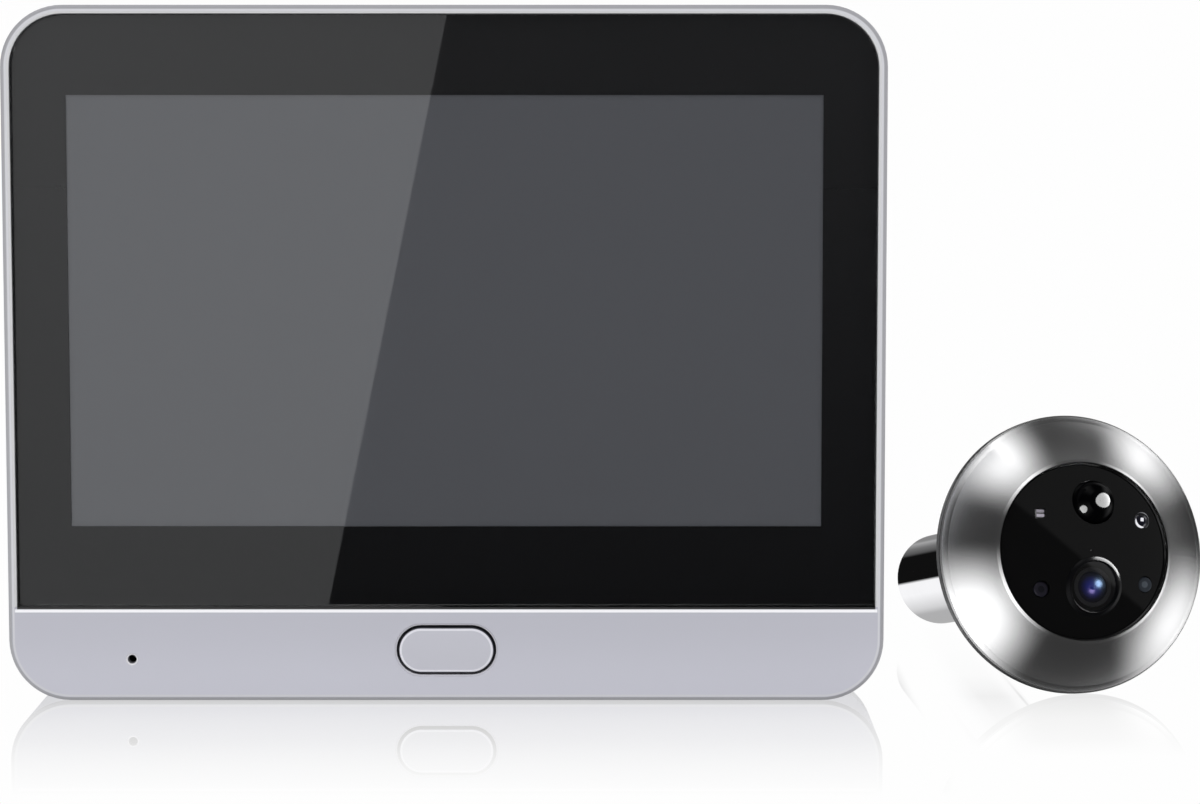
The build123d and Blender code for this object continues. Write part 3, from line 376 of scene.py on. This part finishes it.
def display_cell(name):
    """Dark grey display bonded to the glass, with its fine picture grid."""
    m = Material(name)
    pitch, line_start_share = 0.11 * MM, 0.86
    x, _, z = m.parts(m.place)
    lines = [m.math("GREATER_THAN", m.math("FRACT", m.times(v, 1 / pitch)), line_start_share) for v in (x, z)]
    tone = m.mix(m.math("MAXIMUM", *lines), (0.080, 0.082, 0.0905, 1), (0.072, 0.074, 0.082, 1))
    return m.principled(tone, 0.012, IOR=1.6)


def ink_with_painted_reflection(name):
    """Black print bonded to the back of the glass, made a little paler towards its top by a painted
    reflection.
    """
    m = Material(name)
    # Painted reflection: the print turns paler towards its top
    bottom, top = 8 * MM, 92 * MM
    rise = m.step(m.parts(m.place)["Z"], bottom, top)
    base = m.mix(rise, (0.0052, 0.0052, 0.0058, 1), (0.0135, 0.0135, 0.0143, 1))
    tone = m.mix(m.times(m.noise(5000.0, 1.0), 0.1), base, (0.01, 0.01, 0.01, 1))
    return m.principled(tone, 0.012, IOR=1.45)


def circuit(name):
    """Green board with tracks under its lacquer."""
    m = Material(name)
    track = m.step(m.noise(900.0, 1.0), 0.50, 0.52)
    tone = m.mix(track, (0.012, 0.085, 0.03, 1), (0.02, 0.14, 0.05, 1))
    return m.principled(tone, 0.35, Normal=m.bump(track, 1.5e-5))


def black_window(name):
    """Domed black front of the camera head."""
    m = Material(name)
    tone = m.mix(m.noise(700.0, 2.0), (0.0022, 0.0022, 0.0023, 1), (0.0027, 0.0027, 0.0028, 1))
    return m.principled(tone, 0.04, IOR=1.5)


def lens_painted_coating_reflection(name):
    """Front lens with a painted reflection of its coating: deep blue in the middle, darker towards the rim.
    """
    m = Material(name)
    low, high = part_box("lens_glass")
    lens_r = 1.95 * MM
    offset = m.vector("SUBTRACT", m.place, tuple((low + high) / 2))
    share = m.times(m.length(m.vector("CROSS_PRODUCT", HEAD_OUT, offset)), 1 / lens_r)
    # Painted reflection of the coating, deep blue in the middle and dark at the rim
    tone = m.mix(m.step(share, 0.1, 0.9), (0.003, 0.008, 0.15, 1), (0.0008, 0.001, 0.006, 1))
    return m.principled(tone, 0.2, IOR=1.35)


def lamp_body(name, colour, roughness, **inputs):
    """Resin of a lamp or a filter, faintly cloudy."""
    m = Material(name)
    return m.principled(m.mix(m.noise(900.0, 1.0), *spread(colour, 0.9, 1.1)), roughness, **inputs)


MATERIALS = {
    "silver_frame": frame_with_painted_light("satin_frame_painted_light", (0.535, 0.537, 0.604), (0.55, 0.556, 0.578)),
    "silver_button": button_with_painted_light("satin_button_painted_light", (0.54, 0.542, 0.603)),
    "silver_shell": satin("moulded_silver", (0.47, 0.475, 0.505), 0.5, 3000.0, 1.5e-5),
    "silver_cover": satin("moulded_silver_cover", (0.455, 0.46, 0.49), 0.5, 3000.0, 1.5e-5),
    "front_glass": clear_pane("front_glass", (0.985, 0.988, 0.99), 1.5),
    "black_border": ink_with_painted_reflection("black_border"),
    "display": display_cell("display"),
    "steel_tray": polished("bright_tray", (0.55, 0.56, 0.57), 0.3),
    "amber_film": moulded("amber_film", (0.35, 0.13, 0.02), 0.35),
    "socket_plastic": moulded("socket_plastic", (0.62, 0.58, 0.48), 0.5),
    "green_board": circuit("green_board"),
    "screw_steel": polished("screw_steel", (0.46, 0.46, 0.47), 0.28),
    "chip_black": moulded("chip_black", (0.012, 0.012, 0.013), 0.45),
    "component_grey": moulded("component_grey", (0.22, 0.2, 0.17), 0.5),
    "tin_can": polished("tin_can", (0.66, 0.66, 0.65), 0.32),
    "knob_black": moulded("knob_black", (0.02, 0.02, 0.021), 0.45),
    "plunger_black": moulded("plunger_black", (0.025, 0.025, 0.027), 0.5),
    "spring_steel": polished("spring_steel", (0.6, 0.58, 0.54), 0.25),
    "black_rubber": moulded("black_rubber", (0.018, 0.018, 0.019), 0.7),
    "cone_paper": moulded("cone_paper", (0.03, 0.03, 0.032), 0.8),
    "magnet_steel": polished("magnet_steel", (0.42, 0.42, 0.43), 0.35),
    "battery_wrap": moulded("battery_wrap", (0.05, 0.11, 0.34), 0.3),
    "gold_contacts": polished("gold_contacts", (0.83, 0.58, 0.22), 0.22),
    "bracket_steel": polished("bracket_steel", (0.52, 0.53, 0.55), 0.34),
    "turned_steel": turned_metal("turned_steel", (0.72, 0.72, 0.725), 0.26, 4e-7),
    "barrel_chrome": polished("barrel_chrome", (0.80, 0.80, 0.82), 0.035),
    "window_black": black_window("window_black"),
    "sensor_dome": moulded("sensor_dome", (0.0008, 0.0008, 0.001), 0.08, depth=0.0, IOR=1.1),
    "lens_black": moulded("lens_black", (0.006, 0.006, 0.007), 0.35),
    "lens_glass": lens_painted_coating_reflection("lens_painted_coating_reflection"),
    "filter_glass": lamp_body("filter_glass", (0.05, 0.12, 0.13), 0.1),
    "lamp_dark": lamp_body("lamp_dark", (0.02, 0.022, 0.035), 0.12),
    "lamp_clear": lamp_body("lamp_clear", (0.62, 0.62, 0.62), 0.12, Transmission_Weight=0.3),
}

# The flange shares its slot with the bezel, but it is duller, with painted shade in black round its edge
FLANGE_STEEL = turned_metal("flange_steel", (0.74, 0.74, 0.745), 0.5, 2e-7, (0.06, 0.06, 0.062))


def dress():
    """Gives each node of the part the material of its slot, and the flange its own."""
    for row in RECORD["subparts"]:
        node, slot = NODES[row["node"]], row["material_slot"]
        node.data.materials.clear()
        node.data.materials.append(FLANGE_STEEL if row["node"] == "camera_flange" else MATERIALS[slot])


dress()


# The camera head's front, in millimetres of its own frame
WINDOW_BALL_R = 26.79
WINDOW_BALL_Z = -18.79
WINDOW_R = 11.3
WINDOW_LIP_Z = 5.75
LENS_AT = (0.7, -4.6)
LENS_GLASS_Z = 6.8
LENS_BEVEL_Z = 7.4
SENSOR_AT = (0.7, 6.15)
SENSOR_BALL_Z = 6.78
LAMP_AT = (7.47, 4.13)
LAMP_Z = 6.5
LAMP_SINK = 0.1
INFRARED_AT = [(-6.15, -5.1), (8.0, -4.0)]
LIGHT_SENSOR_AT = (-6.3, 4.5)

# How finely the turned pieces are divided
BEZEL_STEPS = 240
BEVEL_STEPS = 120
COVER_STEPS = 96
LAMP_STEPS = 48


def dome_height(x, y, inset=0.0):
    """Height of the window's outer face, or of a face that lies inset below it."""
    return WINDOW_BALL_Z + math.sqrt((WINDOW_BALL_R - inset) ** 2 - x * x - y * y)


def circle(at, reach, steps):
    """Points at a reach round a place, evenly spread."""
    turns = [2 * math.pi * k / steps for k in range(steps)]
    return [(at[0] + reach * math.cos(turn), at[1] + reach * math.sin(turn)) for turn in turns]


def loop_faces(rings, around):
    """Quads between rings of points, each ring closed."""
    faces = []
    for low in range(0, (rings - 1) * around, around):
        high = low + around
        for j in range(around):
            after = (j + 1) % around
            faces.append((low + j, low + after, high + after, high + j))
    return faces


def piece(name, points, faces, material, smooth=True):
    """A mesh that rides on the camera head, from points in millimetres of the head's frame."""
    mesh = bpy.data.meshes.new(name)
    mesh.from_pydata([HEAD @ (Vector(p) * MM) for p in points], [], faces)
    mesh.validate()
    for polygon in mesh.polygons:
        polygon.use_smooth = smooth
    made = bpy.data.objects.new(name, mesh)
    bpy.context.scene.collection.objects.link(made)
    mesh.materials.append(material)
    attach(made, HEAD_BODY)
    return made


def lathe(name, profile, material, at=(0, 0), steps=BEZEL_STEPS, cap=False):
    """Ring or cup turned about a line along the head's axis, from pairs of radius and height."""
    points = [(x, y, z) for r, z in profile for x, y in circle(at, r, steps)]
    faces = loop_faces(len(profile), steps)
    if cap:
        faces.append(tuple(range((len(profile) - 1) * steps, len(profile) * steps)))
    return piece(name, points, faces, material)


def lamp_cup(name, at, profile, material, cap=False):
    """Small turned piece round a lamp, its heights taken from a level under the window's face."""
    level = dome_height(*at) - LAMP_SINK
    placed = [(r, level + z) for r, z in profile]
    return lathe(name, placed, material, at, LAMP_STEPS, cap)


def pad(name, at, wide, high, z, thick, material):
    """Thin plate on the camera head's front, its top at a height and its edges bevelled."""
    bevel_share = 0.4
    bevel = thick * bevel_share
    outlines = [(wide, high, z - thick), (wide, high, z - bevel), (wide - bevel, high - bevel, z)]
    points = []
    for w, h, level in outlines:
        for sx, sy in ((-1, -1), (1, -1), (1, 1), (-1, 1)):
            points.append((at[0] + sx * w / 2, at[1] + sy * h / 2, level))
    faces = loop_faces(3, 4) + [(8, 9, 10, 11), (3, 2, 1, 0)]
    return piece(name, points, faces, material, smooth=False)


def lens_cover():
    """Clear cover over the lens, level with the window's dome."""
    r, rings, inset = 3.44, 10, 0.12
    points = []
    for k in range(rings, 0, -1):
        reach = r * math.sin(math.pi / 2 * k / rings)
        points += [(x, y, dome_height(x, y, inset)) for x, y in circle(LENS_AT, reach, COVER_STEPS)]
    faces = loop_faces(rings, COVER_STEPS) + [tuple(range((rings - 1) * COVER_STEPS, rings * COVER_STEPS))]
    coated = clear_dome("lens_cover", (0.93, 0.93, 0.95), 2.2)
    piece("lens_cover", points, faces, coated)


def lens_bevel():
    """Raised ring round the lens that follows the window's dome, its outer face rounded."""
    ball, outer, low, high, parts = 1.1, 3.84, math.radians(12), math.radians(50), 8
    skirt, seat, inner_wall, inner_depth = 0.25, 0.02, 0.06, 0.15

    # Pairs of reach from the lens's middle and rise over the dome
    profile = [(outer, -skirt)]
    for k in range(parts + 1):
        lean = high + (low - high) * k / parts
        rise = ball * (math.cos(lean) - math.cos(high)) - seat
        profile.append((outer - ball * (math.sin(high) - math.sin(lean)), rise))
    profile.append((profile[-1][0] - inner_wall, -inner_depth))

    points = []
    for reach, rise in profile:
        points += [(x, y, dome_height(x, y) + rise) for x, y in circle(LENS_AT, reach, BEVEL_STEPS)]
    black = moulded("bevel_black", (0.003, 0.003, 0.0035), 0.22, depth=0.0, IOR=1.13)
    return piece("lens_bevel", points, loop_faces(len(profile), BEVEL_STEPS), black)


def bezel_trim():
    """Thin steel lips at the bezel's two edges, and the dark seal between it and the window."""
    steel = MATERIALS["turned_steel"]
    crest = (WINDOW_R + 0.12, WINDOW_LIP_Z + 0.22)
    lip = [(WINDOW_R + 0.47, WINDOW_LIP_Z - 0.01), (WINDOW_R + 0.3, WINDOW_LIP_Z + 0.11), crest]
    foot = [(17.68, 1.58), (17.64, 1.67), (17.0, 2.1)]
    seal = [crest, (WINDOW_R + 0.06, WINDOW_LIP_Z + 0.14), (WINDOW_R + 0.06, WINDOW_LIP_Z - 0.3)]
    shade = moulded("window_seal", (0.002, 0.002, 0.002), 0.5, depth=0.0, IOR=1.2)
    lathe("bezel_lip", lip, steel)
    lathe("bezel_foot", foot, steel)
    lathe("window_seal", seal, shade)


def white_lamp():
    """The white lamp's cup, dark lens, painted highlight crescent and chip. Gives the cup."""
    bright = polished("lamp_cup", (0.14, 0.14, 0.15), 0.3)
    dark = moulded("lamp_shade", (0.006, 0.006, 0.012), 0.15, depth=0.0, IOR=1.4)
    # The chip's pale material also paints the highlight crescent
    pale = moulded("lamp_chip", (0.9, 0.9, 0.95), 0.3, depth=0.0)
    rim = [(1.12, -0.05), (1.07, 0.06), (0.97, 0.07), (0.8, -0.02), (0.66, -0.1)]
    cup = lamp_cup("white_lamp_cup", LAMP_AT, rim, bright)
    lamp_cup("white_lamp_shade", LAMP_AT, [(0.7, -0.12), (0.3, 0.03)], dark, cap=True)

    # The painted highlight crescent is widest in its middle
    start, sweep, steps = 165, 125, 24
    middle_r, half_wide, tip, rise = 0.86, 0.15, 0.004, 0.07
    points = []
    for k in range(steps + 1):
        turn = math.radians(start + sweep * k / steps)
        half = half_wide * math.sin(math.pi * k / steps) ** 0.6 + tip
        for reach in (middle_r - half, middle_r + half):
            x, y = LAMP_AT[0] + reach * math.cos(turn), LAMP_AT[1] + reach * math.sin(turn)
            points.append((x, y, dome_height(x, y) + rise))
    faces = [(2 * k, 2 * k + 1, 2 * k + 3, 2 * k + 2) for k in range(steps)]
    piece("white_lamp_painted_highlight", points, faces, pale)

    chip_at = (LAMP_AT[0] + 0.12, LAMP_AT[1] + 0.15)
    wide, high, thick = 0.42, 0.46, 0.06
    pad("white_lamp_chip", chip_at, wide, high, dome_height(*LAMP_AT), thick, pale)
    return cup


def infrared_lamps():
    """Smoked rings round dark chips."""
    ring = [(0.96, -0.08), (0.9, 0.02), (0.7, 0.04), (0.42, -0.02)]
    chip = [(0.5, -0.03), (0.28, 0.0)]
    tones = [((0.009, 0.008, 0.014), (0.004, 0.004, 0.007)), ((0.022, 0.027, 0.035), (0.055, 0.066, 0.08))]
    for k, (at, (outer, inner)) in enumerate(zip(INFRARED_AT, tones), 1):
        smoke = moulded(f"smoked_ring_{k}", outer, 0.4, depth=0.0, IOR=1.3)
        middle = moulded(f"smoked_chip_{k}", inner, 0.4, depth=0.0, IOR=1.3)
        lamp_cup(f"infrared_ring_{k}", at, ring, smoke)
        lamp_cup(f"infrared_chip_{k}", at, chip, middle, cap=True)


def light_sensor():
    """Two pale pads with a dark line between, the upper one dimmer."""
    purple = (0.62, 0.58, 0.68)
    wide, high, thick, sink = 1.05, 0.38, 0.08, 0.06
    for k, (rise, tone) in enumerate(((0.3, 0.42), (-0.27, 0.62)), 1):
        pale = moulded(f"sensor_pad_{k}", [tone * c for c in purple], 0.4, depth=0.0)
        at = (LIGHT_SENSOR_AT[0], LIGHT_SENSOR_AT[1] + rise)
        pad(f"light_sensor_pad_{k}", at, wide, high, dome_height(*at) - sink, thick, pale)


lens_cover()
bezel_trim()
LAMP_CUP = white_lamp()
infrared_lamps()
light_sensor()
LENS_BEVEL = lens_bevel()

# From the camera head to where the photograph was taken
TOWARDS_CAMERA = (Vector(CAMERA_PLACE) - HEAD.translation).normalized()

# The light tent that the camera head mirrors, by angle round the head in degrees.
# For its cone, soft panels: where each starts and ends to rise and to fall, and its tone.
# For its barrel, pairs of angle and tone.
CONE_DARK = 0.045
CONE_PANELS = [
    (106, 140, 123, 161, 3.1),
    (176, 212, 213, 248, 2.4),
    (286, 326, 329, 370, 2.35),
    (381, 420, 412, 442, 2.7),
]
BARREL_TONES = [
    (0, 0.02), (26, 0.02), (50, 0.9), (80, 0.9), (100, 0.25), (134, 0.26), (138, 0.42), (146, 0.2),
    (154, 0.1), (157, 0.006), (189, 0.006), (191, 1.1), (206, 1.1), (226, 0.75), (234, 0.5), (258, 0.46),
    (270, 0.5), (300, 0.9), (340, 0.9), (359.9, 0.02),
]

# Cosines from the head's axis between which the tent turns from its front to its back,
# and from the cone's panels to the cards that the window mirrors
BACK_OF_HEAD = (-0.3, -0.1)
WINDOW_CARDS = (0.872, 0.884)

# Across the head's window a slanting edge parts a paler card from a dark one
ACROSS_WINDOW_EDGE = (0.6423, 0.0286, 0.7659)
WINDOW_EDGE = (0.222, 0.25)
WINDOW_PALE = 0.165
WINDOW_DARK = 0.035

# Tone of the photograph's white background
PAPER = 0.991


def soft_panels(w, degrees):
    """Tone of the tent's panels at an angle from 90 to 450 degrees."""
    tone = CONE_DARK
    for rise, risen, fall, fallen, level in CONE_PANELS:
        face = w.times(w.step(degrees, rise, risen), w.rest(w.step(degrees, fall, fallen)))
        tone = w.math("MULTIPLY_ADD", face, level, tone)
    return tone


def light_tent():
    """White studio round the object, with the dark cards that its glossy faces mirror."""
    world = bpy.data.worlds.new("studio")
    world.use_nodes = True
    world.cycles.sampling_method = "NONE"
    bpy.context.scene.world = world
    w = Tree(world.node_tree, "ShaderNodeOutputWorld")
    heading = w.node("ShaderNodeTexCoord").outputs["Generated"]
    halfway = w.vector("NORMALIZE", w.vector("ADD", heading, tuple(TOWARDS_CAMERA)))

    # Round the head: tones by angle for its cone in front and for its barrel behind
    angle = w.math("ARCTAN2", w.dot(halfway, HEAD_UP), w.dot(halfway, HEAD_RIGHT))
    share = w.times(angle, 0.5 / math.pi)
    turn = w.math("FRACT", w.plus(share, 1.0))
    degrees = w.math("MULTIPLY_ADD", w.math("FRACT", w.plus(share, 0.75)), 360.0, 90.0)
    behind = w.rest(w.step(w.dot(heading, HEAD_OUT), *BACK_OF_HEAD))
    tone = w.blend(behind, soft_panels(w, degrees), w.curve(turn, BARREL_TONES, 360.0))

    # Straight ahead: the cards that the head's window mirrors
    ahead = w.step(w.dot(halfway, HEAD_OUT), *WINDOW_CARDS)
    above = w.step(w.dot(halfway, ACROSS_WINDOW_EDGE), *WINDOW_EDGE)
    tone = w.blend(ahead, tone, w.blend(above, WINDOW_DARK, WINDOW_PALE))

    path = w.node("ShaderNodeLightPath").outputs
    fill = w.plus(1.0, w.times(w.parts(heading)["Z"], 0.06))
    tone = w.blend(path["Is Diffuse Ray"], tone, fill)
    tone = w.blend(path["Is Singular Ray"], tone, PAPER)
    tone = w.blend(path["Is Camera Ray"], tone, PAPER)
    background = w.node("ShaderNodeBackground", {"Color": tone, "Strength": 1.0})
    w.put(w.output.inputs["Surface"], background.outputs[0])


def softbox(name, centre, facing, along, size, tone, receivers, colour=WHITE, round_face=True):
    """Soft light that shines along facing, on the receivers alone, and casts no shadow.

    Its first size lies along another direction, and its tone is how bright its face is.
    """
    data = bpy.data.lights.new(name, "AREA")
    data.shape = "ELLIPSE" if round_face else "RECTANGLE"
    data.size, data.size_y = size
    face = size[0] * size[1] * (math.pi / 4 if round_face else 1.0)
    data.energy = tone * math.pi * face
    data.color = colour
    data.use_shadow = False
    made = bpy.data.objects.new(name, data)
    bpy.context.scene.collection.objects.link(made)
    back = -facing.normalized()
    first = (along - along.dot(back) * back).normalized()
    turned = Matrix((first, back.cross(first), back)).transposed().to_4x4()
    made.matrix_world = Matrix.Translation(centre) @ turned
    made.visible_camera = False
    made.visible_diffuse = False
    group = bpy.data.collections.new(name + "_receivers")
    for receiver in receivers:
        group.objects.link(receiver)
    made.light_linking.receiver_collection = group
    return made


def glint(name, place, towards, spans, tone, receiver, colour=WHITE, away=60.0):
    """Round highlight at a place on the camera head, from a softbox in the direction that it mirrors.

    The place and the softbox's distance are in millimetres. Its spans are half the angles it fills there.
    """
    middle = HEAD @ (Vector(place) * MM)
    out = towards.normalized()
    in_plane = TOWARDS_CAMERA - TOWARDS_CAMERA.dot(out) * out
    size = tuple(2 * away * MM * math.tan(math.radians(span)) for span in spans)
    softbox(name, middle + out * away * MM, -out, in_plane, size, tone, [receiver], colour)


def head_lights():
    """Highlights on the motion sensor's dome, the lens, its ring, the white lamp's cup and the flange."""
    dome, glass = NODES["pir_lens"], NODES["lens_glass"]
    sensor, lens = (*SENSOR_AT, SENSOR_BALL_Z), (*LENS_AT, LENS_GLASS_Z)
    bevel, cup = (*LENS_AT, LENS_BEVEL_Z), (*LAMP_AT, LAMP_Z)
    right, left = Vector((0.799, -0.540, 0.264)), Vector((-0.715, -0.46, -0.43))
    glint("sensor_key", sensor, right, spans=(44.0, 32.0), tone=195.0, receiver=dome)
    glint("sensor_fill", sensor, left, spans=(22.0, 17.0), tone=195.0, receiver=dome)

    # From here on, directions in the head's own frame
    towards = HEAD_TURN @ Vector((0.644, 0.218, 0.733))
    glint("lens_key", lens, towards, spans=(9.5, 8.0), tone=62.0, receiver=glass, colour=(0.45, 0.68, 1.0))
    towards = HEAD_TURN @ Vector((0.345, -0.099, 0.933))
    glint("lens_fill", lens, towards, spans=(7.5, 6.5), tone=30.0, receiver=glass, colour=(0.62, 0.5, 1.0))
    towards = HEAD_TURN @ Vector((0.755, 0.617, 0.222))
    glint("bevel_key", bevel, towards, spans=(33.0, 30.0), tone=78.0, receiver=LENS_BEVEL)
    towards = HEAD_TURN @ Vector((0.7, 0.62, 0.35))
    glint("cup_key", cup, towards, spans=(28.0, 28.0), tone=2.2, receiver=LAMP_CUP)

    # The left of the flange's thin wall mirrors a light farther out
    aside = math.radians(184.0)
    wall = HEAD_TURN @ Vector((math.cos(aside), math.sin(aside), 0))
    towards = 2 * wall.dot(TOWARDS_CAMERA) * wall - TOWARDS_CAMERA
    flange = NODES["camera_flange"]
    glint("flange_key", (0, 0, 1.0), towards, spans=(24.0, 24.0), tone=4.0, receiver=flange, away=150.0)


def monitor_lights():
    """Low light in front of the chin, and the white card in the glass, which ends at a slanting edge."""
    ahead, right = Vector((0, 1, 0)), Vector((1, 0, 0))
    chin = [NODES["front_frame"], NODES["home_button_cap"]]
    under_camera = Vector((0.02, -0.16, 0.004))
    low = softbox("chin_fill", under_camera, ahead, right, (0.2, 0.02), 1.1, chin, round_face=False)
    low.visible_diffuse = True
    low.visible_glossy = False

    lean = math.radians(11.6)
    wide, high = 0.5, 0.6
    edge_middle = Vector((-0.0312, -0.4085, 0.03))
    left = Vector((-math.cos(lean), 0, math.sin(lean)))
    behind_glass = [NODES["display_mask"], NODES["lcd_cell"]]
    card = edge_middle + left * wide / 2
    softbox("glass_card", card, ahead, left, (wide, high), 1.16, behind_glass, round_face=False)


# Mirrored share of the table, by millimetres behind a line in front of the object
MIRROR_START = -60.0
MIRROR_REACH = 130.0
MIRROR_BY_MONITOR = [
    (0, 0.0), (7, 0.05), (14, 0.10), (21, 0.17), (28, 0.26), (40, 0.37), (49, 0.48), (53, 0.5),
    (62, 0.5), (76, 0.36), (90, 0.2), (110, 0.08), (130, 0.0),
]
MIRROR_BY_HEAD = [
    (0, 0.0), (20, 0.0), (24, 0.02), (29, 0.05), (41, 0.09), (49, 0.15), (54, 0.2), (60, 0.12), (68, 0.05),
    (85, 0.02), (115, 0.0),
]

# Where the head's part of the table takes over from the monitor's, and how far out the table mirrors
BY_HEAD = (57 * MM, 60 * MM)
UNDER_HEAD = (63 * MM, 67 * MM)
TABLE_MIDDLE_X = 21 * MM
BESIDE = (85 * MM, 110 * MM)


def table():
    """Pale glossy table that mirrors the object's foot and fades to plain white in front of it."""
    half = 3.0
    mesh = bpy.data.meshes.new("table")
    corners = [(-half, -half, 0), (half, -half, 0), (half, half, 0), (-half, half, 0)]
    mesh.from_pydata(corners, [], [(0, 1, 2, 3)])
    made = bpy.data.objects.new("table", mesh)
    bpy.context.scene.collection.objects.link(made)

    m = Material("table")
    x, y, _ = m.parts(m.place)
    depth = m.times(m.minus(y, MIRROR_START * MM), 1 / (MIRROR_REACH * MM))
    by_head = m.times(m.curve(depth, MIRROR_BY_HEAD, MIRROR_REACH), m.step(x, *UNDER_HEAD))
    share = m.blend(m.step(x, *BY_HEAD), m.curve(depth, MIRROR_BY_MONITOR, MIRROR_REACH), by_head)
    beside = m.step(m.math("ABSOLUTE", m.minus(x, TABLE_MIDDLE_X)), *BESIDE)
    share = m.times(share, m.rest(beside))
    plain = m.node("ShaderNodeEmission", {"Color": (PAPER, PAPER, PAPER, 1), "Strength": 1.0})
    mirror = m.node("ShaderNodeBsdfGlossy", {"Color": rgba(WHITE), "Roughness": 0.0})
    mesh.materials.append(m.show(m.shaders(share, plain, mirror)))
    made.visible_glossy = False


def camera():
    """The photograph's camera."""
    made = bpy.data.objects.new("camera", bpy.data.cameras.new("camera"))
    bpy.context.scene.collection.objects.link(made)
    made.location = CAMERA_PLACE
    made.rotation_euler = (CAMERA_PITCH, 0, 0)
    made.data.lens = CAMERA_LENS
    made.data.sensor_width = CAMERA_SENSOR
    made.data.shift_y = CAMERA_SHIFT_Y
    made.data.clip_start, made.data.clip_end = CAMERA_CLIP
    made.data.dof.use_dof = False
    bpy.context.scene.camera = made


light_tent()
head_lights()
monitor_lights()
table()
camera()
bpy.context.scene.view_settings.view_transform = "Standard"
